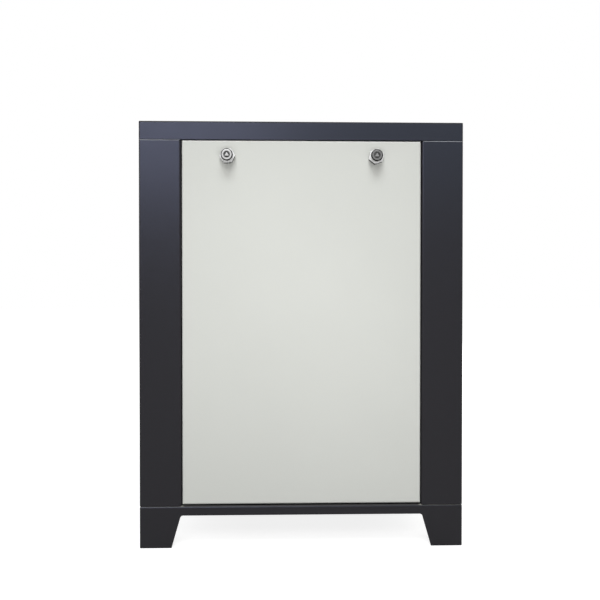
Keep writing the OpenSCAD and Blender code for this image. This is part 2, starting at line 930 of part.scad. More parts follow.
// Fan: shroud, guard that carries the motor, motor and bladed wheel
module fan_axis(y) translate([0, y, fan_z]) along_y() children();

module fan_shroud() {
  wall_r = ring_r + sheet_t;
  flange_r = ring_r + ring_flange;
  lip = [
    [ring_r, 0], [wall_r, 0], [wall_r, shroud_depth - sheet_t], [flange_r, shroud_depth - sheet_t],
    [flange_r, shroud_depth], [ring_r, shroud_depth]
  ];
  color(black) {
    difference() {
      translate([-cond_w/2, cond_y0 - sheet_t, cond_z]) cube([cond_w, sheet_t, cond_h]);
      fan_axis(cond_y0 + cut) cylinder(r = ring_r, h = sheet_t + 2*cut);
    }
    fan_axis(cond_y0) rotate_extrude() polygon(lip);
  }
}

module fan_guard() {
  plate_rim = 4;
  plate_r = motor_d/2 + plate_rim;
  rings = 5;
  step = (ring_r - plate_r)/(rings + 1);
  spokes = 8;
  color(black) fan_axis(guard_y) difference() {
    union() {
      rotate_extrude() translate([ring_r, 0]) square([ring_flange, guard_t]);
      cylinder(r = plate_r, h = guard_t);
      for (i = [1:rings]) translate([0, 0, guard_t/2 + guard_wire/2])
        rotate_extrude() translate([plate_r + i*step, 0]) circle(d = guard_wire);
      for (i = [0:spokes - 1]) rotate(i*360/spokes) translate([plate_r - plate_rim/2, 0, guard_t/2])
        rotate([0, 90, 0]) cylinder(d = guard_t - 2*fit, h = ring_r - plate_r + ring_flange/2);
    }
    translate([0, 0, -cut]) cylinder(d = shaft_d + 2*run_gap, h = guard_t + 2*cut);
  }
}

module fan_motor() {
  r = motor_d/2;
  neck_r = 0.8*r;
  ribs = 4;
  rib = 3;
  color("#3a3c40") fan_axis(motor_y) {
    rounded_drum(neck_r, motor_len, rib, 0.3*r);
    cylinder(r = r, h = guard_t);
    for (i = [1:ribs]) translate([0, 0, i*0.16*motor_len]) cylinder(r = r, h = rib);
    translate([0, 0, motor_y - hub_y]) cylinder(d = shaft_d, h = hub_y - motor_y + guard_t);
  }
}

module fan_blade() {
  half = asin(blade_chord/2/blade_camber_r);
  far = 2*blade_camber_r;
  rotate([blade_pitch, 0, 0]) rotate([90, 0, 90]) linear_extrude(fan_d/2) translate([0, -blade_camber_r])
    intersection() {
      difference() {
        circle(blade_camber_r + blade_t/2);
        circle(blade_camber_r - blade_t/2);
      }
      polygon([[0, 0], [far*sin(half), far*cos(half)], [-far*sin(half), far*cos(half)]]);
    }
}

module fan_blades() {
  color("#c4c8cc") fan_axis(hub_y) difference() {
    union() {
      rounded_drum(hub_r, hub_len, hub_len/5, 1);
      intersection() {
        translate([0, 0, hub_len/2]) for (i = [0:fan_blade_count - 1])
          rotate(i*360/fan_blade_count) fan_blade();
        difference() {
          translate([0, 0, -hub_len]) cylinder(d = fan_d, h = 3*hub_len);
          translate([0, 0, -hub_len]) cylinder(r = hub_r - blade_t, h = 3*hub_len);
        }
      }
    }
    translate([0, 0, -cut]) cylinder(d = shaft_d + 2*run_gap, h = hub_len + 2*cut);
  }
}

// Compressor: welded steel pot on a sprung base plate
module compressor_shell() {
  seam = 4;
  color(black) difference() {
    union() {
      translate([comp_x, comp_y, comp_z]) {
        rounded_drum(comp_d/2, comp_h, comp_dome, comp_dome);
        translate([0, 0, 0.55*comp_h]) cylinder(d = comp_d + 2*seam, h = 2*seam);
      }
      translate([comp_x, comp_y, comp_z - comp_plate_t]) linear_extrude(comp_plate_t)
        round_rect(comp_base, comp_base, mount_d/2);
    }
    at_compressor_ears() cylinder(d = mount_bolt_d + 2*screw_room, h = mount_h + comp_plate_t + cut);
    for (x = [dis_x, suc_x]) translate([x, comp_y, comp_top - socket_in]) tube_socket(socket_in + cut);
  }
}

module terminal_cover() {
  box_w = 0.4*comp_d;
  box_h = 0.4*comp_h;
  box_out = 26;
  box_r = 5;
  color("#2b2d30") difference() {
    translate([comp_x, comp_y, comp_z + 0.55*comp_h - box_h - cut]) linear_extrude(box_h)
      translate([0, -comp_d/2 - box_out/2 + box_w/4]) round_rect(box_w, box_out + box_w/2, box_r);
    translate([comp_x, comp_y, comp_z]) cylinder(d = comp_d + 2*fit, h = comp_h);
  }
}

module compressor_mounts() {
  waist = 3;
  r = mount_d/2;
  hole = mount_bolt_d/2 + screw_room;
  profile = [
    [hole, 0], [r, 0], [r, mount_h/3], [r - waist, mount_h/2], [r, 2*mount_h/3], [r, mount_h], [hole, mount_h]
  ];
  color(black) at_compressor_ears() rotate_extrude() polygon(profile);
}

module compressor_bolts() {
  nut = 0.8*mount_bolt_d;
  af = 1.6*mount_bolt_d;
  washer_t = 2;
  washer_d = mount_d - 2*washer_t;
  low = base_t + nut + washer_t;
  stack = mount_h + comp_plate_t;
  color(bare_steel) at_compressor_ears() {
    translate([0, 0, -base_t - nut]) hex_bar(af, nut);
    translate([0, 0, -low]) cylinder(d = mount_bolt_d, h = low + stack + nut);
    translate([0, 0, stack]) cylinder(d = washer_d, h = washer_t);
    translate([0, 0, stack + washer_t]) hex_bar(af, nut);
  }
}

// Refrigerant circuit
module tube_socket(depth) cylinder(d = tube_d + 2*fit, h = depth);

module filter_drier() {
  neck_wall = 2.5;
  neck = tube_r + neck_wall;
  cone = 18;
  r = drier_d/2;
  top = drier_len - cone;
  profile = [
    [0, 0], [neck, 0], [neck, cone/2], [r, cone],
    [r, top], [neck, top + cone/2], [neck, drier_len], [0, drier_len]
  ];
  color("#7c5a45") translate([line_x, drier_y, drier_z]) difference() {
    rotate_extrude() polygon(profile);
    translate([0, 0, -cut]) tube_socket(socket_in + cut);
    translate([0, 0, drier_len - socket_in]) tube_socket(socket_in + cut);
  }
}

// Valve with a round head; flow runs along -z from the neck at +z to a bare tube at -z
module line_valve(tail) {
  head_t = 12;
  head_up = 4;
  neck_wall = 3;
  difference() {
    union() {
      translate([0, 0, -valve_body_d/2]) hex_bar(valve_body_d, valve_body_d);
      cylinder(d = tube_d + 2*neck_wall, h = valve_neck);
      rotate([-90, 0, 0]) cylinder(d = 0.75*valve_body_d, h = valve_body_d + 2*head_up);
      rotate([-90, 0, 0]) translate([0, 0, valve_body_d + head_up])
        rounded_drum(valve_head_d/2, head_t, 0.25*head_t, 0.4*head_t);
      translate([0, 0, -tail]) cylinder(d = tube_d, h = tail);
    }
    translate([0, 0, valve_neck - socket_in]) tube_socket(socket_in + cut);
  }
}

module expansion_valve() {
  color(brass) translate([expansion_x, expansion_y, liquid_z]) rotate([-90, 0, 0]) mirror([0, 1, 0])
    line_valve(valve_off + socket_in);
}

module hot_gas_valve() {
  color(brass) translate([hot_x, hot_y, tee_z]) rotate([0, 90, 0]) rotate(90)
    line_valve(valve_off + socket_in);
}

module discharge_line() {
  far = rows_y[0];
  route = [
    [dis_x, comp_y, comp_top - socket_in], [dis_x, comp_y, run_z], [run_x, comp_y, run_z],
    [run_x, far, run_z], [run_x, far, tube_z(0)], [coil_end, far, tube_z(0)]
  ];
  color(copper) difference() {
    union() {
      pipe(route, tube_r, tube_bend);
      translate([dis_x, comp_y, tee_z - tee_len/2]) cylinder(d = tee_d, h = tee_len);
      translate([dis_x, comp_y, tee_z]) inward() cylinder(d = tee_d, h = tee_d);
    }
    translate([dis_x, comp_y + tee_d - socket_in, tee_z]) inward() tube_socket(socket_in + cut);
  }
}

module liquid_line() {
  near = rows_y[1];
  to_drier = [
    [coil_end, near, tube_z(0)], [line_x, near, tube_z(0)], [line_x, drier_y, tube_z(0)],
    [line_x, drier_y, drier_z + socket_in]
  ];
  to_valve = [
    [line_x, drier_y, drier_top - socket_in], [line_x, drier_y, liquid_z], [expansion_x, drier_y, liquid_z],
    [expansion_x, expansion_y + valve_neck - socket_in, liquid_z]
  ];
  color(copper) {
    pipe(to_drier, tube_r, tube_bend);
    pipe(to_valve, tube_r, tube_bend);
  }
}

module suction_line() {
  color(copper) pipe([[ex_x1 - socket_in, suction_y, suction_z], [suc_x, suction_y, suction_z],
    [suc_x, comp_y, suction_z], [suc_x, comp_y, comp_top - socket_in]], tube_r, tube_bend);
}

module hot_gas_line() {
  color(copper) pipe([[dis_x, comp_y + tee_d - socket_in, tee_z], [dis_x, hot_y, tee_z],
    [hot_x + valve_neck - socket_in, hot_y, tee_z]], tube_r, tube_bend);
}

// Air side
module heat_exchanger() {
  color(black) difference() {
    translate([ex_x, ex_y, ex_z]) linear_extrude(ex_h) round_rect(ex_w, ex_d, ex_corner);
    for (y = port_ys) translate([ex_x - ex_w/2 - cut, y, port_z]) rotate([0, 90, 0])
      cylinder(d = port_pipe_d + 2*fit, h = port_socket + cut);
    translate([ex_x1 - socket_in, suction_y, suction_z]) rotate([0, 90, 0]) tube_socket(socket_in + cut);
    translate([ex_x1 - socket_in, hot_y, tee_z]) rotate([0, 90, 0]) tube_socket(socket_in + cut);
    translate([expansion_x, ex_y1 - socket_in, liquid_z]) inward() tube_socket(socket_in + cut);
  }
}

module exchanger_stand() {
  color(bare_steel) translate([ex_x, ex_y, deck_z]) difference() {
    union() {
      translate([0, 0, stand_h]) linear_extrude(stand_t) square([ex_w, ex_d], center = true);
      for (sx = [0, 1], sy = [0, 1]) mirror([sx, 0, 0]) mirror([0, sy, 0])
        translate([-ex_w/2, -ex_d/2, 0]) {
          cube([stand_leg, stand_t, stand_h + cut]);
          cube([stand_t, stand_leg, stand_h + cut]);
          cube([stand_leg, stand_leg, stand_t]);
        }
    }
    translate([0, 0, stand_h - cut]) cylinder(d = sep_d + 2*run_gap, h = stand_t + 2*cut);
  }
}

module air_pipe(y) {
  x_in = ex_x - ex_w/2 + port_socket;
  x_out = -hw - port_stand_off;
  color(bare_steel) translate([0, y, port_z]) rotate([0, -90, 0]) difference() {
    union() {
      translate([0, 0, -x_in]) cylinder(d = port_pipe_d, h = x_in - x_out + cut);
      translate([0, 0, -x_out]) hex_bar(port_af, port_len);
    }
    translate([0, 0, -x_in - cut]) cylinder(d = port_pipe_bore, h = x_in - x_out + port_len);
    translate([0, 0, -x_out + port_len - port_thread]) cylinder(d = port_bore_d, h = port_thread + cut);
  }
}

module air_inlet_pipe() air_pipe(port_ys[0]);
module air_outlet_pipe() air_pipe(port_ys[1]);

module port_grommets() {
  bore = port_pipe_d/2 + fit;
  neck = grommet_neck_d/2;
  lip = neck + grommet_lip;
  a = grommet_lip_t;
  b = sheet_t + grommet_lip_t;
  profile = [
    [bore, -a], [lip, -a], [lip, 0], [neck, 0], [neck, sheet_t], [lip, sheet_t], [lip, b], [bore, b]
  ];
  color(black) for (y = port_ys) at_port_face(y, port_z) translate([0, 0, panel_inset])
    rotate_extrude() polygon(profile);
}

module separator_body() {
  rim = 2;
  spout = [[ex_x, ex_y, sep_z + rim], [ex_x, ex_y, drain_z], [ex_x, valve_y0, drain_z]];
  color(bright) {
    translate([ex_x, ex_y, sep_z]) rounded_drum(sep_d/2, ex_z - sep_z, sep_corner, rim);
    pipe(spout, spout_d/2, spout_bend);
  }
}

// Drain train
module drain_ball_valve() {
  bonnet = valve_d/2 + lever_up - cut;
  hex = valve_d + 2*valve_hex_wall;
  nut_z = lever_z + lever_t + run_gap;
  nut_t = 0.6*stem_d;
  color(brass) translate([ex_x, 0, drain_z]) {
    translate([0, valve_y0, 0]) along_y() {
      cylinder(d = valve_d, h = valve_len);
      hex_bar(hex, valve_hex);
      translate([0, 0, valve_len - valve_hex]) hex_bar(hex, valve_hex);
      cylinder(d = nipple_d, h = valve_len + nipple_len);
    }
    translate([0, stem_y, 0]) {
      cylinder(d = 2*stem_d, h = bonnet);
      cylinder(d = stem_d, h = nut_z - drain_z + cut);
      translate([0, 0, nut_z - drain_z]) hex_bar(1.7*stem_d, nut_t);
    }
  }
}

module drain_valve_lever() {
  color("#b3302a") translate([ex_x, stem_y, lever_z]) difference() {
    linear_extrude(lever_t) {
      circle(d = lever_hub_d);
      translate([-lever_w/2, -lever_len]) square([lever_w, lever_len]);
      translate([0, -lever_len]) circle(d = lever_w);
    }
    translate([0, 0, -cut]) cylinder(d = stem_d + 2*run_gap, h = lever_t + 2*cut);
  }
}

module drain_solenoid() {
  plug = 20;
  plug_h = 26;
  plug_up = 4;
  plug_r = 2;
  coil_r = 4;
  neck = 2;
  coil_z = solenoid_w/2 + neck;
  stem_top = coil_z + coil_h + neck;
  color(brass) translate([ex_x, solenoid_y0 - solenoid_len/2, drain_z]) difference() {
    union() {
      cube([solenoid_w, solenoid_len, solenoid_w], center = true);
      cylinder(d = 0.5*coil_w, h = stem_top);
      translate([0, 0, coil_z]) linear_extrude(coil_h) round_rect(coil_w, coil_w, coil_r);
      translate([coil_w/2 + plug/2 - cut, 0, coil_z + plug_up]) linear_extrude(plug_h)
        round_rect(plug, plug_h, plug_r);
    }
    translate([0, socket_in - solenoid_len/2, 0]) along_y() hose_socket(socket_in + cut);
  }
}

module hose_socket(depth) cylinder(d = drain_tube_d + 2*fit, h = depth);

module drain_tube() {
  mouth_x = -hw + panel_inset + sheet_t + bulkhead_nut_t + hose_seat;
  route = [
    [ex_x, solenoid_y0 - solenoid_len + socket_in, drain_z], [ex_x, outlet_y, drain_z],
    [mouth_x, outlet_y, drain_z]
  ];
  color("#d8dce0") pipe(route, drain_tube_d/2, drain_bend);
}

// Fitting through the port face: hexagon outside, thread and nut inside; z runs inward
module bulkhead(af, long, thread_d, tail) {
  inner = panel_inset + sheet_t;
  translate([0, 0, panel_inset - long]) hex_bar(af, long);
  cylinder(d = thread_d, h = inner + bulkhead_nut_t + tail);
  translate([0, 0, inner]) hex_bar(thread_d + 2*bulkhead_nut_wall, bulkhead_nut_t);
}

module drain_outlet() {
  tail = 2*hose_seat;
  stop_wall = 2;
  step = 2;
  mouth = panel_inset - outlet_len;
  seat = panel_inset + sheet_t + bulkhead_nut_t + hose_seat;
  color(brass) at_port_face(outlet_y, drain_z) difference() {
    bulkhead(outlet_af, outlet_len, bulkhead_d, tail);
    translate([0, 0, mouth - cut]) cylinder(d = drain_bore_d, h = outlet_len - stop_wall + cut);
    translate([0, 0, mouth]) cylinder(d = drain_bore_d - 2*step, h = seat - mouth + cut);
    translate([0, 0, seat]) hose_socket(tail);
  }
}

module cable_gland() {
  tail = 6;
  hex_len = 8;
  dome = 14;
  crown = 4;
  mouth = panel_inset - hex_len - dome;
  color(black) at_port_face(gland_y, gland_z) difference() {
    union() {
      bulkhead(gland_af, hex_len, gland_thread_d, tail);
      translate([0, 0, panel_inset - hex_len]) mirror([0, 0, 1])
        rounded_drum(gland_af/2 - cut, dome, cut, crown);
    }
    translate([0, 0, mouth - cut]) cylinder(d = gland_bore_d, h = back_v - mouth + 2*cut);
  }
}

// Electrical tray, hung under the control-side rail
module electrical_tray() {
  t = sheet_t;
  low = tray_z - tray_drop;
  path = [
    [hw - stop_v - bend_o, tray_z - t/2], [tray_x, tray_z - t/2], [tray_x, low], [tray_x + tray_lip, low]
  ];
  color(bright) rotate([90, 0, 0]) linear_extrude(tray_w, center = true) bent_strip(path, t, bend_r);
}

module contactor() {
  step = 10;
  color("#d6d7d3") translate([tray_x + sheet_t/2, 0, tray_z - 0.4*tray_drop]) rotate([90, 0, 90]) {
    linear_extrude(contactor_d - step) square([contactor_w, contactor_h], center = true);
    linear_extrude(contactor_d) square([contactor_w, contactor_h - 2*step], center = true);
  }
}

// Controls on the fascia, with z running inward
module at_controls(us) {
  for (u = us) on_control() translate([u, 0, control_z]) inward() children();
}

module gauge_cases() {
  r = gauge_d/2 - fit;
  bore = r - gauge_wall;
  front = panel_inset - gauge_bezel_t;
  color(black) at_controls(gauge_us) {
    difference() {
      union() {
        translate([0, 0, front]) rounded_drum(gauge_d/2 + gauge_bezel, gauge_bezel_t, 2, 0.5);
        translate([0, 0, panel_inset - cut]) cylinder(r = r, h = gauge_depth + cut);
      }
      translate([0, 0, lens_v]) cylinder(r = bore, h = dial_v - lens_v);
      translate([0, 0, front - cut]) cylinder(r = bore - gauge_wall, h = lens_v - front + 2*cut);
    }
    translate([0, 0, needle_v - cut]) cylinder(d = pin_d, h = dial_v - needle_v + 2*cut);
  }
}

module gauge_lenses() {
  r = gauge_d/2 - gauge_wall - 2*fit;
  color([0.9, 0.95, 1, 0.3]) at_controls(gauge_us) translate([0, 0, lens_v]) cylinder(r = r, h = lens_t);
}

module needle(u) {
  tip = 0.8;
  root = 3;
  tail = 7;
  color("#c23a2c") at_controls([u]) translate([0, 0, needle_v]) rotate(needle_zero) difference() {
    union() {
      cylinder(d = needle_hub_d, h = needle_t);
      linear_extrude(needle_t)
        polygon([[-tail, -root], [-tail, root], [needle_len, tip], [needle_len, -tip]]);
    }
    translate([0, 0, -cut]) cylinder(d = pin_d + 2*run_gap, h = needle_t + 2*cut);
  }
}

module needle_dew_point() needle(gauge_us[0]);
module needle_pressure() needle(gauge_us[1]);

module button_bezels() {
  bore = button_d + 2*run_gap;
  color(black) at_controls(concat(lamp_us, button_us)) difference() {
    union() {
      translate([0, 0, panel_inset - bezel_t]) rounded_drum(bezel_d/2, bezel_t, 1, 0.3);
      cylinder(d = bezel_tube, h = panel_inset + bezel_depth);
      translate([-contact_w/2, -contact_w/2, panel_inset + bezel_depth - cut])
        cube([contact_w, contact_w, contact_len]);
    }
    translate([0, 0, panel_inset - bezel_t - cut]) cylinder(d = bore, h = bezel_t + bezel_depth);
  }
}

module push_button(u, tone) {
  color(tone) at_controls([u]) translate([0, 0, panel_inset - bezel_t - button_proud])
    rounded_drum(button_d/2, button_proud + bezel_t + bezel_depth - button_travel - 2*cut, 1.2, 0.4);
}

module start_button() push_button(button_us[0], "#2f8f4a");
module stop_button() push_button(button_us[1], "#b8302a");

module lamp_lenses() {
  color("#3fae5a") at_controls(lamp_us) translate([0, 0, panel_inset - bezel_t - 2*button_proud])
    rounded_drum(button_d/2, 2*button_proud + bezel_t + bezel_depth - cut, 0.3*button_d, 0.4);
}

// Service panel with its seal and two quarter-turn latches
module at_latches() {
  for (s = [-1, 1]) latch_axis(s) children();
}

module latch_axis(s) {
  on_service() translate([s*latch_pitch/2, 0, latch_z]) inward() children();
}

// Tab under the panel, with shoulders that stand on the deck beside its slot
module locating_tab() {
  wide = tab_w + 2*tab_shoulder;
  translate([-tab_w/2, 0, -tab_drop]) cube([tab_w, tab_t, tab_drop + panel_lift + sheet_t]);
  translate([-wide/2, 0, run_gap]) cube([wide, tab_t, panel_lift - run_gap + sheet_t]);
}

module service_panel() {
  color(panel_white) difference() {
    on_service() {
      translate([0, panel_inset, panel_z0]) pan_panel(open_x - 2*panel_gap, panel_h, panel_depth);
      for (s = [-1, 1]) translate([s*tab_pitch/2, tab_v, deck_z]) locating_tab();
    }
    at_latches() panel_bore(shank_d + 2*fit);
  }
}

module panel_seal() {
  w = open_x - 2*panel_gap - panel_lip + seal_w;
  h = panel_h - panel_lip + seal_w;
  color(black) on_service() translate([0, stop_v - run_gap, panel_z0 + panel_h/2]) along_y()
    linear_extrude(seal_t - run_gap) difference() {
      square([w, h], center = true);
      square([w - 2*seal_w, h - 2*seal_w], center = true);
    }
}

module latch_housing(s, turn) {
  latch_axis(s) difference() {
    union() {
      translate([0, 0, latch_front]) rounded_drum(barrel_d/2, barrel_len + cut, barrel_edge, fit);
      translate([0, 0, panel_inset - collar_t]) rotate(turn) hex_bar(collar_af, collar_t);
      translate([0, 0, panel_inset - cut]) cylinder(d = shank_d, h = shank_end - panel_inset + cut);
    }
    translate([0, 0, latch_front - cut]) cylinder(d = recess_d, h = recess_depth + cut);
    translate([0, 0, latch_front]) cylinder(d = core_d + 2*run_gap, h = shank_end - latch_front + cut);
  }
}

module latch_housings() {
  color("#c8cacc") {
    latch_housing(-1, collar_turn_left);
    latch_housing(1, collar_turn_right);
  }
}

module latch_nuts() {
  color(bare_steel) at_latches() translate([0, 0, panel_inset + sheet_t]) difference() {
    hex_bar(latch_nut_af, latch_nut_t);
    translate([0, 0, -cut]) cylinder(d = shank_d + 2*fit, h = latch_nut_t + 2*cut);
  }
}

module latch_core(s) {
  flange_r = recess_d/2 - run_gap;
  seat = recess_floor - core_flange_t;
  half = core_square/2;
  color(bright) latch_axis(s) {
    translate([0, 0, latch_front + cut]) rotate(stud_turn)
      cylinder(r = stud_side/sqrt(3), h = recess_depth - core_flange_t, $fn = 3);
    translate([0, 0, seat - run_gap]) cylinder(r = flange_r, h = core_flange_t);
    translate([0, 0, seat]) cylinder(d = core_d, h = cam_v - seat);
    translate([-half, -half, cam_v - cut]) cube([core_square, core_square, cam_t + 2*cut]);
    translate([0, 0, cam_v + cam_t]) hex_bar(core_d + cam_screw_t, cam_screw_t);
  }
}

module latch_core_left() latch_core(-1);
module latch_core_right() latch_core(1);

module latch_cam(s) {
  hole = core_square + 2*fit;
  long = cam_reach - cam_w/2;
  color(bare_steel) latch_axis(s) translate([0, 0, cam_v]) linear_extrude(cam_t) difference() {
    union() {
      circle(d = cam_hub_d);
      translate([s > 0 ? -long : 0, -cam_w/2]) square([long, cam_w]);
      translate([-s*long, 0]) circle(d = cam_w);
    }
    square(hole, center = true);
  }
}

module latch_cam_left() latch_cam(-1);
module latch_cam_right() latch_cam(1);

base_pan();
post_service_left();
post_service_right();
post_condenser_left();
post_condenser_right();
end_rails();
side_rails();
top_cover();
condenser_panel();
front_lower_panel();
control_fascia();
port_panel();
cabinet_fasteners();
condenser_core();
condenser_coil();
fan_shroud();
fan_guard();
fan_motor();
fan_blades();
compressor_shell();
terminal_cover();
compressor_mounts();
compressor_bolts();
filter_drier();
expansion_valve();
hot_gas_valve();
discharge_line();
liquid_line();
suction_line();
hot_gas_line();
heat_exchanger();
exchanger_stand();
air_inlet_pipe();
air_outlet_pipe();
port_grommets();
separator_body();
drain_ball_valve();
drain_valve_lever();
drain_solenoid();
drain_tube();
drain_outlet();
electrical_tray();
contactor();
cable_gland();
gauge_cases();
gauge_lenses();
needle_dew_point();
needle_pressure();
button_bezels();
start_button();
stop_button();
lamp_lenses();
service_panel();
panel_seal();
latch_housings();
latch_nuts();
latch_core_left();
latch_core_right();
latch_cam_left();
latch_cam_right();
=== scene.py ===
import json
import math

import bpy
from mathutils import Matrix, Vector


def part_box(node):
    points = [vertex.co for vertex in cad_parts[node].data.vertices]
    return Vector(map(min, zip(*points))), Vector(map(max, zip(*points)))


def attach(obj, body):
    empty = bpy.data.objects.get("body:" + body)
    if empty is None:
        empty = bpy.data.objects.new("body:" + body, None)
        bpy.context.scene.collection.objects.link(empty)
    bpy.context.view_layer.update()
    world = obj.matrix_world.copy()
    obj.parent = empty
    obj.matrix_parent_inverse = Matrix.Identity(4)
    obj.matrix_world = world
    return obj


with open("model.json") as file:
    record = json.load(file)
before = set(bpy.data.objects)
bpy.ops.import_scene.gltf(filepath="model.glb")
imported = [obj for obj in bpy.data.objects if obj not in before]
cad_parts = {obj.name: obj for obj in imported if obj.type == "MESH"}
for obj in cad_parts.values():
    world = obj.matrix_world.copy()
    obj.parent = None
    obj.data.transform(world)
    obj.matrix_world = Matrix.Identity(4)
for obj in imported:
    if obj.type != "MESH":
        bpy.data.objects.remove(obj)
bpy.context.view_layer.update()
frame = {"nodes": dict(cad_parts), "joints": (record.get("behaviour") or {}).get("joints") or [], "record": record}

NODES = frame["nodes"]
SLOT_OF = {part["node"]: part["material_slot"] for part in frame["record"]["subparts"]}
SERVICE_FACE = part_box("base_pan")[0].y


# Node graphs

class Graph:
    """A material with a Principled shader and short ways to wire textures into it."""

    def __init__(self, name):
        self.mat = bpy.data.materials.new(name)
        self.mat.use_nodes = True
        self.tree = self.mat.node_tree
        self.tree.nodes.clear()
        self.shader = self.add("ShaderNodeBsdfPrincipled")
        self.out = self.add("ShaderNodeOutputMaterial")
        self.link(self.shader.outputs["BSDF"], self.out.inputs["Surface"])
        spot = self.add("ShaderNodeTexCoord")
        self.place = spot.outputs["Object"]
        self.normal = spot.outputs["Normal"]

    def add(self, kind, **props):
        node = self.tree.nodes.new(kind)
        for key, value in props.items():
            setattr(node, key, value)
        return node

    def link(self, source, socket):
        self.tree.links.new(source, socket)

    def feed(self, **sources):
        """Wires what varies over the surface into the shader."""
        for key, source in sources.items():
            self.link(source, self.shader.inputs[key.replace("_", " ")])

    def put(self, **values):
        """Sets what is the same all over on the shader's own sockets."""
        for key, value in values.items():
            self.shader.inputs[key.replace("_", " ")].default_value = value

    def part_of(self, vector, letter):
        node = self.add("ShaderNodeSeparateXYZ")
        self.link(vector, node.inputs["Vector"])
        return node.outputs[letter]

    def compute(self, operation, *sources):
        node = self.add("ShaderNodeMath", operation=operation)
        for source, socket in zip(sources, node.inputs):
            self.link(source, socket)
        return node.outputs["Value"]

    def stretched(self, scale):
        node = self.add("ShaderNodeMapping")
        self.link(self.place, node.inputs["Vector"])
        node.inputs["Scale"].default_value = scale
        return node.outputs["Vector"]

    def noise(self, scale, detail=3.0, rough=0.5, stretch=None):
        """Soft noise with about scale patches to the metre."""
        node = self.add("ShaderNodeTexNoise")
        self.link(self.stretched(stretch) if stretch else self.place, node.inputs["Vector"])
        node.inputs["Scale"].default_value = scale
        node.inputs["Detail"].default_value = detail
        node.inputs["Roughness"].default_value = rough
        return node.outputs["Fac"]

    def cells(self, scale):
        node = self.add("ShaderNodeTexVoronoi")
        self.link(self.place, node.inputs["Vector"])
        node.inputs["Scale"].default_value = scale
        return node.outputs["Distance"]

    def spread(self, source, low, high, at=(0.3, 0.7)):
        """Runs from low to high while source goes through the range at."""
        node = self.add("ShaderNodeMapRange")
        self.link(source, node.inputs["Value"])
        node.inputs["From Min"].default_value = at[0]
        node.inputs["From Max"].default_value = at[1]
        node.inputs["To Min"].default_value = low
        node.inputs["To Max"].default_value = high
        return node.outputs["Result"]

    def tones(self, source, stops):
        """Colour ramp with (position, colour) stops."""
        node = self.add("ShaderNodeValToRGB")
        self.link(source, node.inputs["Fac"])
        ramp = node.color_ramp
        while len(ramp.elements) < len(stops):
            ramp.elements.new(0.5)
        for element, (position, color) in zip(ramp.elements, stops):
            element.position = position
            element.color = (*color, 1.0)
        return node.outputs["Color"]

    def mottle(self, source, color, dark, light, at=(0.3, 0.7)):
        """One colour that drifts from dark times itself to light times itself."""
        return self.tones(source, [(at[0], shade(color, dark)), (at[1], shade(color, light))])

    def mixed(self, under, over, share=None, blend="MIX"):
        """One colour over another by a share that varies, or blended in full."""
        node = self.add("ShaderNodeMix", data_type="RGBA", blend_type=blend)
        if share is None:
            node.inputs["Factor"].default_value = 1.0
        else:
            self.link(share, node.inputs["Factor"])
        self.link(under, node.inputs["A"])
        self.link(over, node.inputs["B"])
        return node.outputs["Result"]

    def bump(self, source, strength, depth, under=None):
        node = self.add("ShaderNodeBump")
        self.link(source, node.inputs["Height"])
        node.inputs["Strength"].default_value = strength
        node.inputs["Distance"].default_value = depth
        if under is not None:
            self.link(under, node.inputs["Normal"])
        return node.outputs["Normal"]


def shade(color, share):
    return tuple(min(1.0, c*share) for c in color)


def grey(tone):
    return (tone, tone, tone)


# Finishes

BLACK = grey(0.0)
WHITE = grey(1.0)
FULL_RANGE = (0.0, 1.0)


def coat(name, color, rough, spec=0.5, vary=0.05, vary_scale=7.0, grain=900.0, grain_strength=0.12,
         **values):
    """Plastic, rubber or paint with soft colour drift, uneven gloss and a fine grain."""
    g = Graph(name)
    drift = g.noise(vary_scale, detail=4.0, rough=0.55)
    gloss = g.noise(vary_scale*9, detail=3.0, rough=0.6)
    peel = g.noise(grain, detail=2.0, rough=0.5)
    g.feed(Base_Color=g.mottle(drift, color, 1 - vary, 1 + vary),
           Roughness=g.spread(gloss, rough - 0.06, rough + 0.06),
           Normal=g.bump(peel, grain_strength, depth=0.0002))
    g.put(Specular_IOR_Level=spec, **values)
    return g


# Rise of the surface at which a bend ends and its flat top begins
BEND_END = 0.985
FLAT_TOP = 0.999
# Share of the painted highlight that is left where an edge lies in shade under something, a painted shade, and the
# length over which it fades
SHADED_EDGE_SHARE = 0.15
EDGE_SHADE_FADE = 0.004
# Rise of the surface from which a face counts as level, at first a little and then in full
LEVEL_RISE = (0.5, 0.99)


def painted_edge_highlight(g, paint, tone, start, full, beyond=None):
    """Paint made pale where a bend turns up, a painted highlight, and its own tone again on the flat top.

    start and full are the rise of the surface at which the painted highlight begins and is complete.
    Nearer the middle than x = beyond, the edge lies in shade under something and little of the highlight is left,
    a painted shade.
    """
    # Painted highlight on bends that turn upward
    rise = g.part_of(g.normal, "Z")
    edge_light_share = g.tones(rise, [(start, BLACK), (full, WHITE), (BEND_END, WHITE), (FLAT_TOP, BLACK)])
    if beyond:
        # Painted shade: most of the highlight is taken away where the edge lies under something
        off_middle = g.compute("ABSOLUTE", g.part_of(g.place, "X"))
        unshaded_share = g.spread(off_middle, SHADED_EDGE_SHARE, 1.0, at=(beyond - EDGE_SHADE_FADE, beyond))
        edge_light_share = g.compute("MULTIPLY", edge_light_share, unshaded_share)
    lit_edge_tone = g.mottle(g.noise(150.0, detail=3.0, rough=0.6), tone, 0.88, 1.08)
    return g.mixed(paint, lit_edge_tone, edge_light_share)


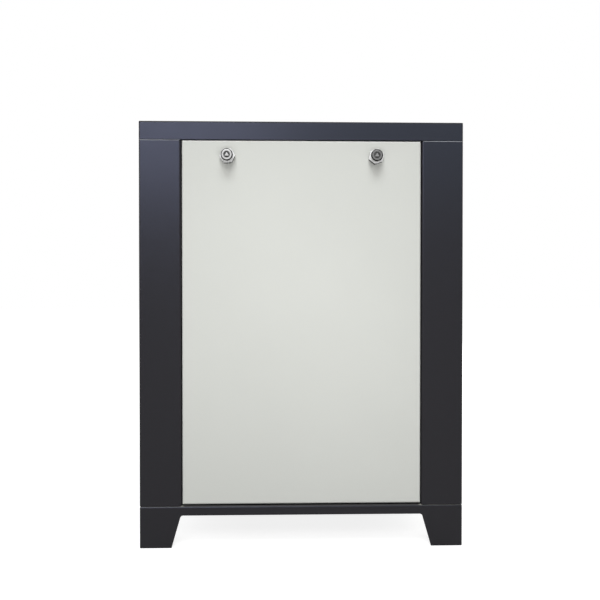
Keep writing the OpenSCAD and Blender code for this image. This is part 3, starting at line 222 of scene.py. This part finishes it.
def powder_coat(name, color, rough, spec, edge=None, level_rough=None):
    """Painted sheet: orange peel over a very slow drift of tone, with specks of pigment.

    edge is what the edge function above takes for the paler paint on rounded upper edges, a painted highlight.
    level_rough is the duller finish of faces that lie level.
    """
    g = Graph(name)
    drift = g.mottle(g.noise(3.5, detail=3.0, rough=0.5), color, 0.975, 1.025, at=(0.25, 0.75))
    specks = g.mottle(g.noise(2600.0, detail=1.0, rough=0.5), WHITE, 0.965, 1.0)
    paint = g.mixed(drift, specks, blend="MULTIPLY")
    # Painted highlight on rounded upper edges, where given
    if edge:
        paint = painted_edge_highlight(g, paint, *edge)
    gloss = g.spread(g.noise(40.0, detail=3.0, rough=0.6), rough - 0.02, rough + 0.02)
    if level_rough:
        level = g.spread(g.part_of(g.normal, "Z"), 0.0, level_rough, at=LEVEL_RISE)
        gloss = g.compute("MAXIMUM", level, gloss)
    peel = g.bump(g.noise(420.0, detail=2.0, rough=0.45), strength=0.10, depth=0.00025)
    fine = g.bump(g.noise(1900.0, detail=1.0, rough=0.5), strength=0.06, depth=0.0001, under=peel)
    g.feed(Base_Color=paint, Roughness=gloss, Normal=fine)
    g.put(Specular_IOR_Level=spec)
    return g


def brushed(name, color, rough, stretch, scratch=0.12):
    """Bare metal with lines left by rolling or turning."""
    g = Graph(name)
    lines = g.noise(260.0, detail=4.0, rough=0.65, stretch=stretch)
    stain = g.noise(18.0, detail=4.0, rough=0.6)
    g.feed(Base_Color=g.mottle(stain, color, 0.90, 1.06),
           Roughness=g.spread(lines, rough - 0.10, rough + 0.12),
           Normal=g.bump(lines, scratch, depth=0.0001))
    g.put(Metallic=1.0)
    return g


def spangled(name, color):
    """Zinc plating: pale metal with crystal patches."""
    g = Graph(name)
    patch = g.cells(160.0)
    g.feed(Base_Color=g.tones(patch, [(0.0, shade(color, 0.86)), (0.5, color), (1.0, shade(color, 1.12))]),
           Roughness=g.spread(patch, 0.26, 0.46, at=(0.0, 0.7)),
           Normal=g.bump(g.noise(700.0), strength=0.06, depth=0.0001))
    g.put(Metallic=1.0)
    return g


def tarnished(name, color, dark, rough):
    """Copper or brass with patches where it has dulled."""
    g = Graph(name)
    patch = g.noise(34.0, detail=5.0, rough=0.62)
    g.feed(Base_Color=g.tones(patch, [(0.28, dark), (0.5, color), (0.78, shade(color, 1.12))]),
           Roughness=g.spread(patch, rough + 0.14, rough - 0.05),
           Normal=g.bump(g.noise(500.0), strength=0.07, depth=0.0001))
    g.put(Metallic=1.0)
    return g


def foam(name, color):
    """Closed-cell insulation with a rubbery skin."""
    g = Graph(name)
    skin = g.bump(g.cells(420.0), strength=0.35, depth=0.0005)
    g.feed(Base_Color=g.mottle(g.noise(11.0, detail=4.0), color, 0.8, 1.25),
           Roughness=g.spread(g.noise(60.0), 0.72, 0.9),
           Normal=g.bump(g.noise(24.0), strength=0.25, depth=0.0012, under=skin))
    g.put(Specular_IOR_Level=0.3)
    return g


def glass(name, tint):
    """Clear pane with faint smears."""
    g = Graph(name)
    smear = g.noise(50.0, detail=4.0, rough=0.6)
    g.feed(Base_Color=g.mottle(smear, tint, 0.97, 1.0), Roughness=g.spread(smear, 0.02, 0.07))
    g.put(Transmission_Weight=1.0, IOR=1.46)
    return g


FRAME_TONE = (0.0237, 0.0226, 0.0262)
FRAME_GLOSS = {"rough": 0.31, "spec": 0.10}
# Paler tones of the painted highlights on the upper edges of posts and base
POST_HIGHLIGHT_TONE = (0.36, 0.37, 0.40)
BASE_HIGHLIGHT_TONE = (0.22, 0.215, 0.19)
PANEL_TONE = (0.700, 0.708, 0.672)
PANEL_GLOSS = {"rough": 0.52, "spec": 0.28}
# Paler tone of the painted highlight on the door's upper edges
PANEL_HIGHLIGHT_TONE = (0.90, 0.90, 0.88)
ZINC = (0.44, 0.45, 0.47)
CHROME = (0.74, 0.75, 0.77)
ALUMINIUM = (0.71, 0.72, 0.74)
COPPER = (0.66, 0.30, 0.17)
DULL_COPPER = (0.34, 0.13, 0.07)
BRASS = (0.66, 0.50, 0.21)
DULL_BRASS = (0.38, 0.26, 0.09)

SLOTS = {
    "frame_paint": powder_coat("frame_paint", FRAME_TONE, **FRAME_GLOSS),
    "panel_paint": powder_coat("panel_paint", PANEL_TONE, **PANEL_GLOSS),
    "zinc_steel": spangled("zinc_steel", ZINC),
    "chrome": brushed("chrome", CHROME, 0.17, stretch=(1.0, 6.0, 1.0), scratch=0.05),
    "copper": tarnished("copper", COPPER, DULL_COPPER, 0.26),
    "brass": tarnished("brass", BRASS, DULL_BRASS, 0.27),
    "aluminium": brushed("aluminium", ALUMINIUM, 0.34, stretch=(1.0, 1.0, 9.0)),
    "rubber": coat("rubber", (0.021, 0.021, 0.022), 0.68, spec=0.35, grain=1600.0, grain_strength=0.25),
    "insulation": foam("insulation", (0.026, 0.026, 0.028)),
    "black_steel": coat("black_steel", (0.018, 0.019, 0.021), 0.38, spec=0.45, grain=500.0),
    "drier_shell": coat("drier_shell", (0.20, 0.10, 0.055), 0.36, vary=0.14, vary_scale=25.0),
    "black_plastic": coat("black_plastic", (0.021, 0.022, 0.024), 0.45, spec=0.45, grain=2400.0,
                          grain_strength=0.3),
    "white_plastic": coat("white_plastic", (0.64, 0.65, 0.62), 0.42, spec=0.45, grain=2400.0,
                          grain_strength=0.2),
    "drain_hose": coat("drain_hose", (0.60, 0.64, 0.68), 0.30, Subsurface_Weight=0.15),
    "red_plastic": coat("red_plastic", (0.46, 0.035, 0.025), 0.26, grain=1200.0, grain_strength=0.08),
    "green_plastic": coat("green_plastic", (0.03, 0.27, 0.07), 0.26, grain=1200.0, grain_strength=0.08),
    "lamp_lens": coat("lamp_lens", (0.05, 0.42, 0.12), 0.16, spec=0.6, grain_strength=0.15,
                      Transmission_Weight=0.35),
    "needle_paint": coat("needle_paint", (0.55, 0.04, 0.03), 0.4, grain=3000.0),
    "lens_glass": glass("lens_glass", (0.95, 0.97, 0.98)),
}

# Drain solenoid: height of its brass body under the coil, and its darker and lighter tones
SOLENOID_BODY = 0.029
BODY_TONES = ((0.42, 0.30, 0.11), BRASS)
COIL_TONES = ((0.018, 0.018, 0.02), (0.026, 0.026, 0.028))


def solenoid_finish(split):
    """Brass body below z = split, black coil and plug above."""
    g = Graph("drain_solenoid_two_tone")
    above = g.add("ShaderNodeMath", operation="GREATER_THAN")
    g.link(g.part_of(g.place, "Z"), above.inputs[0])
    above.inputs[1].default_value = split
    coiled = above.outputs["Value"]
    patch = g.noise(40.0, detail=4.0, rough=0.6)
    body = g.tones(patch, [(0.3, BODY_TONES[0]), (0.7, BODY_TONES[1])])
    coil = g.tones(patch, [(0.3, COIL_TONES[0]), (0.7, COIL_TONES[1])])
    g.feed(Base_Color=g.mixed(body, coil, coiled),
           Metallic=g.spread(coiled, 1.0, 0.0, at=FULL_RANGE),
           Roughness=g.spread(patch, 0.28, 0.46),
           Normal=g.bump(g.noise(1500.0, detail=2.0), strength=0.15, depth=0.0001))
    return g


# Length of a latch barrel ahead of its collar, and of the bright end of its key stud
BARREL_LENGTH = 0.009
STUD_END = 0.0015
COLLAR_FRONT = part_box("latch_housings")[0].y + BARREL_LENGTH
STUD_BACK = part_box("latch_core_left")[0].y + STUD_END
# How squarely a latch's surface looks to the front or back where its tones change
FLANK_END = 0.10
RIM_START = 0.20
RIM_END = 0.95
FACE_START = 0.985
# The same for the end of a barrel or stud, where the painted dim reflection on the right latch starts and where it
# is full
END_FACE = (RIM_START, 0.30)
# Rise of the surface, below level, where the painted shade on an underside is full and where it ends
UNDER_RISE = (-0.90, -0.40)
# Strip about x = 0 that parts the left latch from the right one
MIDLINE = (-0.001, 0.001)
# Distances ahead of the split between which one depth gives way to the other
SPLIT_FADE = (0.0008, 0.0002)
# Share of their tone that undersides keep under the painted shade
UNDER_SHADE = 0.12


def latch_finish(name, split, front, back, right_dimming, back_metal):
    """Plated casting in two depths, ahead of y = split and behind it.

    front and back give the grey of the face, the rounded rim and the flank at each depth. Dark rims are a painted
    dark reflection, and dark flanks and an all-dark back are painted shade.
    Behind split the undersides are darkened, a painted shade. Ahead of it, the end face on the right is painted
    darker by a share, a painted dim reflection.
    back_metal is False where only the front is bright metal.
    """
    g = Graph(name)
    facing = g.compute("ABSOLUTE", g.part_of(g.normal, "Y"))
    ahead = g.spread(g.part_of(g.place, "Y"), 1.0, 0.0, at=(split - SPLIT_FADE[0], split - SPLIT_FADE[1]))
    # Rim and flank tones: dark rims are a painted dark reflection, dark flanks painted shade
    layers = []
    for face, rim, flank in (back, front):
        stops = [(0.0, flank), (FLANK_END, flank), (RIM_START, rim), (RIM_END, rim), (FACE_START, face),
                 (1.0, face)]
        layers.append(g.tones(facing, [(position, grey(tone)) for position, tone in stops]))
    # Painted dim reflection: the end faces of the right latch are made darker
    right = g.spread(g.part_of(g.place, "X"), 0.0, 1.0, at=MIDLINE)
    end_face = g.compute("MULTIPLY", ahead, g.spread(facing, 0.0, 1.0, at=END_FACE))
    dimmed_share = g.spread(g.compute("MULTIPLY", right, end_face), 1.0, 1.0 - right_dimming, at=FULL_RANGE)
    # Painted shade on the undersides behind split
    behind = g.spread(ahead, 1.0, 0.0, at=FULL_RANGE)
    downward = g.spread(g.part_of(g.normal, "Z"), 1.0, 0.0, at=UNDER_RISE)
    under = g.spread(g.compute("MULTIPLY", behind, downward), 1.0, UNDER_SHADE, at=FULL_RANGE)
    smear = g.noise(320.0, detail=4.0, rough=0.6)
    shade_and_smear = g.compute("MULTIPLY", g.compute("MULTIPLY", under, dimmed_share), g.spread(smear, 0.90, 1.0))
    g.feed(Base_Color=g.mixed(g.mixed(*layers, ahead), shade_and_smear, blend="MULTIPLY"),
           Roughness=g.spread(smear, 0.18, 0.32),
           Normal=g.bump(g.noise(900.0), strength=0.08, depth=0.0001))
    g.put(Specular_IOR_Level=0.2)
    if back_metal:
        g.put(Metallic=1.0)
    else:
        g.feed(Metallic=ahead)
    return g


# Painted edge highlights: tone, the rise at which the highlight begins and is complete, and where the edge lies in
# painted shade under something
POST_EDGE_HIGHLIGHT = (POST_HIGHLIGHT_TONE, 0.05, 0.30)
PANEL_EDGE_HIGHLIGHT = (PANEL_HIGHLIGHT_TONE, 0.10, 0.35)
BASE_EDGE_HIGHLIGHT = (BASE_HIGHLIGHT_TONE, 0.50, 0.80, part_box("service_panel")[1].x)

# Posts with the painted highlight along their upper edges
POST_PAINT = powder_coat("post_paint", FRAME_TONE, **FRAME_GLOSS, edge=POST_EDGE_HIGHLIGHT)
# Cores: the stud's darker rim is a painted dark reflection and its darker flank painted shade, the core behind the
# stud's end is painted dark as shade in the recess, and the right stud's end is painted dimmer
LATCH_CORE = latch_finish("latch_core_plating", STUD_BACK, front=(0.62, 0.30, 0.20), back=(0.10, 0.10, 0.10),
                          right_dimming=0.50, back_metal=True)
SPECIAL = {
    "drain_solenoid": solenoid_finish(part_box("drain_solenoid")[0].z + SOLENOID_BODY),
    # Housings: the dark barrel rim is a painted dark reflection, the dark collar flanks and undersides painted
    # shade, the collar face pale nearly to white, partly its bright plating and partly a painted highlight against
    # the barrel's shadow, and the right barrel end painted dimmer
    "latch_housings": latch_finish("latch_plating", COLLAR_FRONT, front=(0.62, 0.03, 0.78),
                                   back=(0.94, 0.94, 0.08), right_dimming=0.66, back_metal=False),
    "latch_core_left": LATCH_CORE,
    "latch_core_right": LATCH_CORE,
    "post_service_left": POST_PAINT,
    "post_service_right": POST_PAINT,
    "post_condenser_left": POST_PAINT,
    "post_condenser_right": POST_PAINT,
    "top_cover": powder_coat("cover_paint", FRAME_TONE, **FRAME_GLOSS, level_rough=0.60),
    # Base and door with painted edge highlights; the base's is mostly taken away under the door as painted shade
    "base_pan": powder_coat("base_paint", FRAME_TONE, **FRAME_GLOSS, edge=BASE_EDGE_HIGHLIGHT),
    "service_panel": powder_coat("door_paint", PANEL_TONE, **PANEL_GLOSS, edge=PANEL_EDGE_HIGHLIGHT),
}

for name, obj in NODES.items():
    chosen = SPECIAL.get(name) or SLOTS[SLOT_OF[name]]
    obj.data.materials.clear()
    obj.data.materials.append(chosen.mat)


# Ways to make the added pieces

def piece(name, verts, faces, body, slot, material, smooth=True):
    mesh = bpy.data.meshes.new(name)
    mesh.from_pydata([tuple(v) for v in verts], [], faces)
    mesh.validate()
    mesh.update()
    obj = bpy.data.objects.new(name, mesh)
    bpy.context.scene.collection.objects.link(obj)
    mesh.materials.append(material.mat)
    for polygon in mesh.polygons:
        polygon.use_smooth = smooth
    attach(obj, body)
    return obj


def port_face(y, z):
    """Points about an axis square to the port face: along runs outward from x = 0."""
    return lambda along, a, b: Vector((-along, y + a, z + b))


def control_face(y, z):
    """Points about an axis square to the control face: along runs outward from x = 0."""
    return lambda along, a, b: Vector((along, y + a, z + b))


def mid(node):
    low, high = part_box(node)
    return (low + high)/2


def polar(r, degrees):
    return r*math.cos(math.radians(degrees)), r*math.sin(math.radians(degrees))


def turned(profile, place, count=64):
    """Closed ring: (along, radius) points of a profile swept round the axis of place."""
    n = len(profile)
    verts = []
    faces = []
    for i in range(count):
        turn = 2*math.pi*i/count
        verts += [place(along, r*math.cos(turn), r*math.sin(turn)) for along, r in profile]
        here = i*n
        there = (i + 1) % count*n
        for k in range(n):
            after = (k + 1) % n
            faces.append((here + k, here + after, there + after, there + k))
    return verts, faces


def slab(outline, place, low, high):
    """Flat plate from an outline of (a, b) points."""
    n = len(outline)
    verts = [place(low, a, b) for a, b in outline] + [place(high, a, b) for a, b in outline]
    faces = [tuple(range(n - 1, -1, -1)), tuple(range(n, 2*n))]
    faces += [(k, (k + 1) % n, n + (k + 1) % n, n + k) for k in range(n)]
    return verts, faces


def joined(parts):
    verts = []
    faces = []
    for part_verts, part_faces in parts:
        base = len(verts)
        verts += part_verts
        faces += [tuple(i + base for i in face) for face in part_faces]
    return verts, faces


# Threads in the air ports, cut to the size of a one-inch pipe

THREAD_SETBACK = 0.0018
THREAD_LENGTH = 0.0195
THREAD_PITCH = 0.002309
THREAD_ROOT_R = 0.01516
THREAD_CREST_R = 0.01435
THREAD_HALF_SHARE = 0.42
THREAD_STEPS = 48
THREAD_RUNOUT = 12


def thread(place, start):
    """Ridge that winds inward from start, and fades out at both ends."""
    steps = int(THREAD_LENGTH/THREAD_PITCH*THREAD_STEPS)
    half = THREAD_HALF_SHARE*THREAD_PITCH
    verts = []
    for i in range(steps + 1):
        turn = 2*math.pi*i/THREAD_STEPS
        middle = start - i*THREAD_PITCH/THREAD_STEPS
        ease = min(1.0, i/THREAD_RUNOUT, (steps - i)/THREAD_RUNOUT)
        top = THREAD_ROOT_R + (THREAD_CREST_R - THREAD_ROOT_R)*ease
        for along, r in ((middle - half, THREAD_ROOT_R), (middle, top), (middle + half, THREAD_ROOT_R)):
            verts.append(place(along, r*math.cos(turn), r*math.sin(turn)))
    last = 3*steps
    faces = []
    for b in range(0, last, 3):
        faces += [(b, b + 1, b + 4, b + 3), (b + 1, b + 2, b + 5, b + 4), (b + 2, b, b + 3, b + 5)]
    faces += [(0, 2, 1), (last, last + 1, last + 2)]
    return verts, faces


for side in ("inlet", "outlet"):
    pipe = f"air_{side}_pipe"
    centre = mid(pipe)
    mouth = -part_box(pipe)[0].x
    ridge = thread(port_face(centre.y, centre.z), mouth - THREAD_SETBACK)
    piece(f"{side}_port_thread", *ridge, "cabinet", "zinc_steel", SLOTS["zinc_steel"])


# Trim of the drain fitting and the cable gland: distances out from the mouth, and radii

RING_TAIL = -0.004
RING_SEAT = 0.0001
RING_FUNNEL = (0.0008, 0.0016)
RING_BACK = 0.0014
RING_FRONT = 0.0032
RING_EASE = 0.0004
RING_ROUND = 0.0005
RING_BORE_R = 0.00515
RING_SLEEVE_R = 0.0053
RING_MOUTH_R = 0.0056
RING_NECK_R = 0.0068
RING_R = 0.0083
RELEASE_RING = [
    (RING_TAIL, RING_BORE_R), (RING_FUNNEL[0], RING_BORE_R), (RING_FUNNEL[1], RING_MOUTH_R),
    (RING_FRONT - RING_EASE, RING_MOUTH_R), (RING_FRONT, RING_MOUTH_R + RING_EASE),
    (RING_FRONT, RING_R - RING_ROUND), (RING_FRONT - RING_ROUND, RING_R),
    (RING_BACK + RING_EASE, RING_R), (RING_BACK, RING_R - RING_ROUND), (RING_BACK, RING_NECK_R),
    (RING_SEAT, RING_NECK_R), (RING_SEAT, RING_SLEEVE_R), (RING_TAIL, RING_SLEEVE_R),
]

SEAL_TAIL = -0.011
SEAL_SHOULDER = -0.0012
SEAL_CREST = -0.0004
SEAL_LIP = -0.0010
SEAL_THROAT = -0.0045
SEAL_R = 0.00598
SEAL_CREST_R = 0.0055
SEAL_LIP_R = 0.0049
SEAL_THROAT_R = 0.0047
SEAL_BORE_R = 0.0046
SEAL_INSERT = [
    (SEAL_TAIL, SEAL_R), (SEAL_SHOULDER, SEAL_R), (SEAL_CREST, SEAL_CREST_R), (SEAL_LIP, SEAL_LIP_R),
    (SEAL_THROAT, SEAL_THROAT_R), (SEAL_TAIL, SEAL_BORE_R),
]


def port_trim(name, node, profile, slot):
    """Turned piece in the mouth of a fitting on the port face."""
    centre = mid(node)
    mouth = -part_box(node)[0].x
    ring = [(mouth + along, r) for along, r in profile]
    piece(name, *turned(ring, port_face(centre.y, centre.z)), "cabinet", slot, SLOTS[slot])


port_trim("drain_release_ring", "drain_outlet", RELEASE_RING, "black_plastic")
port_trim("gland_seal_insert", "cable_gland", SEAL_INSERT, "rubber")


# Gauge dials, with sizes in metres and angles in degrees

DIAL_WHITE = coat("dial_card", (0.78, 0.78, 0.75), 0.5, spec=0.3, vary=0.02, grain=3000.0,
                  grain_strength=0.05)
DIAL_BLACK = coat("dial_ink", (0.012, 0.012, 0.013), 0.55, spec=0.25, vary=0.1, grain=3000.0)
DIAL_GREEN = coat("dial_green", (0.05, 0.33, 0.10), 0.55, spec=0.25, vary=0.06, grain=3000.0)

DIAL_START = 225.0
DIAL_SWEEP = 270.0
NEEDLE_GAP = 0.002
DIAL_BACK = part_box("needle_pressure")[0].x - NEEDLE_GAP
DIAL_R = 0.0262
DIAL_HOLE_R = 0.0016
CARD_T = 0.0002
CARD_ROUND = 0.0004
CARD_LIFT = 0.00002
INK_T = 0.00008
TICK_END_R = 0.0244
LONG_TICK_R = 0.0208
LONG_TICK_W = 0.00062
SHORT_TICK_R = 0.0224
SHORT_TICK_W = 0.0003
SCALE_LINE = (0.0243, 0.0246)
ZONE_BAND = (0.0247, 0.0258)
NUMBER_R = 0.0172
NUMBER_H = 0.0036
NUMBER_W = 0.5*NUMBER_H
NUMBER_GAP = 0.22*NUMBER_H
STROKE = 0.17*NUMBER_H

# Bars of each numeral: a, g and d lie across from the top down, f and b stand above, e and c below
SEGMENTS = {
    "0": "abcdef", "1": "bc", "2": "abged", "3": "abgcd", "4": "fgbc",
    "5": "afgcd", "6": "afgedc", "7": "abc", "8": "abcdefg", "9": "abcdfg",
}
HALF_H = NUMBER_H/2
FAR_SIDE = NUMBER_W - STROKE
BARS = {
    "a": (0, NUMBER_H - STROKE, NUMBER_W, STROKE),
    "g": (0, HALF_H - STROKE/2, NUMBER_W, STROKE),
    "d": (0, 0, NUMBER_W, STROKE),
    "f": (0, HALF_H, STROKE, HALF_H),
    "b": (FAR_SIDE, HALF_H, STROKE, HALF_H),
    "e": (0, 0, STROKE, HALF_H),
    "c": (FAR_SIDE, 0, STROKE, HALF_H),
}


def number_strokes(text, r, degrees):
    """Bars of plain block numerals, centred on a point of the dial."""
    x, y = polar(r, degrees)
    left = x - (len(text)*NUMBER_W + (len(text) - 1)*NUMBER_GAP)/2
    foot = y - HALF_H
    strokes = []
    for i, sign in enumerate(text):
        for key in SEGMENTS[sign]:
            across, up, wide, high = BARS[key]
            a = left + i*(NUMBER_W + NUMBER_GAP) + across
            b = foot + up
            strokes.append([(a, b), (a + wide, b), (a + wide, b + high), (a, b + high)])
    return strokes


def arc_band(inner, outer, start, end, steps=40):
    turns = [start + (end - start)*i/steps for i in range(steps + 1)]
    return [polar(outer, turn) for turn in turns] + [polar(inner, turn) for turn in reversed(turns)]


def tick(inner, outer, wide, degrees):
    c, s = polar(1.0, degrees)
    half = wide/2
    corners = ((inner, -half), (outer, -half), (outer, half), (inner, half))
    return [(r*c - w*s, r*s + w*c) for r, w in corners]


def dial_angle(share):
    return DIAL_START - DIAL_SWEEP*share


def dial(name, joint, numbers, minor, zone):
    """Card, ink and green band of one gauge.

    minor is how many ticks lie between numbers. zone is the green share of the scale, from and to.
    """
    needle = next(j for j in frame["joints"] if j["name"] == joint)
    place = control_face(needle["pos_m"][1], needle["pos_m"][2])
    top = DIAL_BACK + CARD_T
    bottom = DIAL_BACK + CARD_LIFT
    card = [(top, DIAL_HOLE_R), (top, DIAL_R - CARD_ROUND), (DIAL_BACK + CARD_T/2, DIAL_R),
            (bottom, DIAL_R), (bottom, DIAL_HOLE_R)]
    disc = turned(card, place, count=72)
    piece(f"{name}_dial_card", *disc, "cabinet", "white_plastic", DIAL_WHITE, smooth=False)
    intervals = len(numbers) - 1
    count = minor*intervals
    marks = []
    for i in range(count + 1):
        if i % minor == 0:
            marks.append(tick(LONG_TICK_R, TICK_END_R, LONG_TICK_W, dial_angle(i/count)))
        else:
            marks.append(tick(SHORT_TICK_R, TICK_END_R, SHORT_TICK_W, dial_angle(i/count)))
    for i, text in enumerate(numbers):
        marks += number_strokes(text, NUMBER_R, dial_angle(i/intervals))
    marks.append(arc_band(*SCALE_LINE, dial_angle(0), dial_angle(1), steps=90))
    ink = joined([slab(mark, place, top, top + INK_T) for mark in marks])
    piece(f"{name}_dial_marks", *ink, "cabinet", "black_plastic", DIAL_BLACK, smooth=False)
    band = arc_band(*ZONE_BAND, dial_angle(zone[0]), dial_angle(zone[1]))
    green = slab(band, place, top, top + INK_T)
    piece(f"{name}_dial_zone", *green, "cabinet", "green_plastic", DIAL_GREEN, smooth=False)


dial("dew_point", "dew_point_needle_turn", ["0", "5", "10", "15", "20"], minor=5, zone=(0.08, 0.42))
dial("pressure", "pressure_needle_turn", ["0", "4", "8", "12", "16"], minor=4, zone=(0.34, 0.66))


# Signs on the buttons: a bar for start and a ring for stop

MARK_WHITE = coat("mark_white", (0.76, 0.77, 0.76), 0.42, spec=0.4, vary=0.03, grain=2500.0)
MARK_SUNK = 0.00005
MARK_PROUD = 0.00008
MARK_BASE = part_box("start_button")[1].x - MARK_SUNK
MARK_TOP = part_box("start_button")[1].x + MARK_PROUD
BAR_REACH = 0.0036
BAR_END_R = 0.0006
HOOP_INNER_R = 0.0030
HOOP_OUTER_R = 0.0042


def bar_outline(steps=12):
    """Upright bar with round ends."""
    outline = []
    for middle, start in ((BAR_REACH, 0.0), (-BAR_REACH, 180.0)):
        for i in range(steps + 1):
            across, up = polar(BAR_END_R, start + 180.0*i/steps)
            outline.append((across, up + middle))
    return outline


centre = mid("start_button")
bar = slab(bar_outline(), control_face(centre.y, centre.z), MARK_BASE, MARK_TOP)
piece("start_button_mark", *bar, "start_plunger", "white_plastic", MARK_WHITE, smooth=False)

centre = mid("stop_button")
hoop = [(MARK_BASE, HOOP_INNER_R), (MARK_BASE, HOOP_OUTER_R), (MARK_TOP, HOOP_OUTER_R),
        (MARK_TOP, HOOP_INNER_R)]
hoop_ring = turned(hoop, control_face(centre.y, centre.z), count=48)
piece("stop_button_mark", *hoop_ring, "stop_plunger", "white_plastic", MARK_WHITE, smooth=False)


# Floor and world

AMBIENT = 0.17
FLOOR_HALF = 14.0
FLOOR_DROP = 0.0003
FLOOR_GREY = (0.39, 0.41)
FLOOR_GLOW = (0.85, 0.98)
FLOOR_GLOW_REACH = (1.0, 5.0)


def in_view(tree):
    """1 for what the camera sees, also in metal and through glass, and 0 for the light on other things."""
    rays = tree.nodes.new("ShaderNodeLightPath")
    seen = rays.outputs["Is Camera Ray"]
    for kind in ("Is Glossy Ray", "Is Transmission Ray"):
        either = tree.nodes.new("ShaderNodeMath")
        either.operation = "MAXIMUM"
        tree.links.new(seen, either.inputs[0])
        tree.links.new(rays.outputs[kind], either.inputs[1])
        seen = either.outputs["Value"]
    return seen


def stage_floor():
    """Pale floor that keeps the shadow and glows to white, a little more far away."""
    g = Graph("stage_floor")
    g.tree.nodes.remove(g.shader)
    matt = g.add("ShaderNodeBsdfDiffuse")
    stain = g.tones(g.noise(2.0), [(0.3, grey(FLOOR_GREY[0])), (0.7, grey(FLOOR_GREY[1]))])
    g.link(stain, matt.inputs["Color"])
    away = g.add("ShaderNodeVectorMath", operation="LENGTH")
    g.link(g.place, away.inputs[0])
    level = g.spread(away.outputs["Value"], *FLOOR_GLOW, at=FLOOR_GLOW_REACH)
    glow = g.add("ShaderNodeEmission")
    g.link(g.compute("MULTIPLY", in_view(g.tree), level), glow.inputs["Strength"])
    both = g.add("ShaderNodeAddShader")
    g.link(matt.outputs["BSDF"], both.inputs[0])
    g.link(glow.outputs["Emission"], both.inputs[1])
    g.link(both.outputs["Shader"], g.out.inputs["Surface"])
    corners = ((-1, -1), (1, -1), (1, 1), (-1, 1))
    mesh = bpy.data.meshes.new("stage_floor")
    mesh.from_pydata([(FLOOR_HALF*x, FLOOR_HALF*y, -FLOOR_DROP) for x, y in corners], [], [(0, 1, 2, 3)])
    mesh.materials.append(g.mat)
    obj = bpy.data.objects.new("stage_floor", mesh)
    bpy.context.scene.collection.objects.link(obj)


def studio_world():
    """White where it is seen, and a soft even light on everything."""
    world = bpy.data.worlds.new("studio")
    bpy.context.scene.world = world
    world.use_nodes = True
    tree = world.node_tree
    tree.nodes.clear()
    out = tree.nodes.new("ShaderNodeOutputWorld")
    sky = tree.nodes.new("ShaderNodeBackground")
    sky.inputs["Color"].default_value = (*WHITE, 1.0)
    level = tree.nodes.new("ShaderNodeMapRange")
    tree.links.new(in_view(tree), level.inputs["Value"])
    level.inputs["To Min"].default_value = AMBIENT
    level.inputs["To Max"].default_value = 1.0
    tree.links.new(level.outputs["Result"], sky.inputs["Strength"])
    tree.links.new(sky.outputs["Background"], out.inputs["Surface"])


# Lamps, with places and sizes in metres

def softbox(name, at, aim, size, watts, color, only=None, diffuse=True, glossy=True):
    """Area lamp out of the camera's sight. With only, it lights the nodes of that one slot."""
    lamp = bpy.data.lights.new(name, "AREA")
    lamp.shape = "RECTANGLE"
    lamp.size = size[0]
    lamp.size_y = size[1]
    lamp.energy = watts
    lamp.color = color
    obj = bpy.data.objects.new(name, lamp)
    obj.location = at
    obj.rotation_euler = (Vector(aim) - Vector(at)).to_track_quat("-Z", "Y").to_euler()
    obj.visible_camera = False
    obj.visible_diffuse = diffuse
    obj.visible_glossy = glossy
    bpy.context.scene.collection.objects.link(obj)
    if only:
        group = bpy.data.collections.new(f"{name}_on")
        for node, slot in SLOT_OF.items():
            if slot == only:
                group.objects.link(NODES[node])
        obj.light_linking.receiver_collection = group


MIDDLE = (0.0, 0.0, 0.35)

stage_floor()
studio_world()
softbox("key", at=(-0.50, -4.60, 4.20), aim=(0.0, SERVICE_FACE, 0.45), size=(3.2, 2.2), watts=85.0,
        color=(0.99, 0.99, 0.975))
softbox("front_fill", at=(-0.02, -0.83, 0.43), aim=(-0.02, SERVICE_FACE, 0.43), size=(0.50, 0.20),
        watts=0.86, color=(1.0, 0.995, 0.985), glossy=False)
softbox("cool_window", at=(-0.69, -2.00, 1.46), aim=(-0.69, SERVICE_FACE, 1.46), size=(1.22, 1.12),
        watts=75.0, color=(0.58, 0.66, 1.0), only="frame_paint", diffuse=False)
softbox("cool_side", at=(0.60, -2.00, 1.46), aim=(0.60, SERVICE_FACE, 1.46), size=(1.36, 1.12),
        watts=20.0, color=(0.40, 0.62, 1.0), only="frame_paint", diffuse=False)
softbox("upper", at=(-0.10, -2.35, 3.95), aim=(0.0, SERVICE_FACE, 0.50), size=(2.2, 1.0), watts=77.0,
        color=(0.96, 0.99, 1.0), glossy=False)
softbox("overhead", at=(0.0, -0.35, 2.6), aim=(0.0, 0.0, 0.4), size=(1.6, 1.6), watts=10.0,
        color=(1.0, 0.99, 0.97))
softbox("rim", at=(1.5, 2.9, 1.9), aim=MIDDLE, size=(1.8, 1.6), watts=62.0,
        color=(1.0, 0.99, 0.98), glossy=False)
softbox("side", at=(-2.7, 0.9, 1.5), aim=MIDDLE, size=(1.8, 1.4), watts=46.0,
        color=(0.97, 0.98, 1.0))
softbox("control_side", at=(2.8, 0.5, 1.6), aim=MIDDLE, size=(1.8, 1.4), watts=46.0,
        color=(1.0, 0.99, 0.98))


# Camera

CAMERA_AT = Vector((-0.0244, SERVICE_FACE - 0.950, 0.4080))
CAMERA_YAW = math.radians(1.291)
CAMERA_PITCH = math.radians(-0.631)
CAMERA_LENS = 35.57
SENSOR = 36.0


def photo_camera():
    data = bpy.data.cameras.new("photo_camera")
    data.sensor_width = SENSOR
    data.lens = CAMERA_LENS
    data.clip_start = 0.02
    data.clip_end = 100.0
    level = Vector((math.sin(CAMERA_YAW), math.cos(CAMERA_YAW), 0.0))
    forward = level*math.cos(CAMERA_PITCH) + Vector((0.0, 0.0, math.sin(CAMERA_PITCH)))
    right = Vector((math.cos(CAMERA_YAW), -math.sin(CAMERA_YAW), 0.0))
    turn = Matrix((right, right.cross(forward), -forward)).transposed()
    obj = bpy.data.objects.new("photo_camera", data)
    obj.matrix_world = Matrix.Translation(CAMERA_AT) @ turn.to_4x4()
    bpy.context.scene.collection.objects.link(obj)
    bpy.context.scene.camera = obj


photo_camera()
bpy.context.scene.view_settings.view_transform = "Standard"
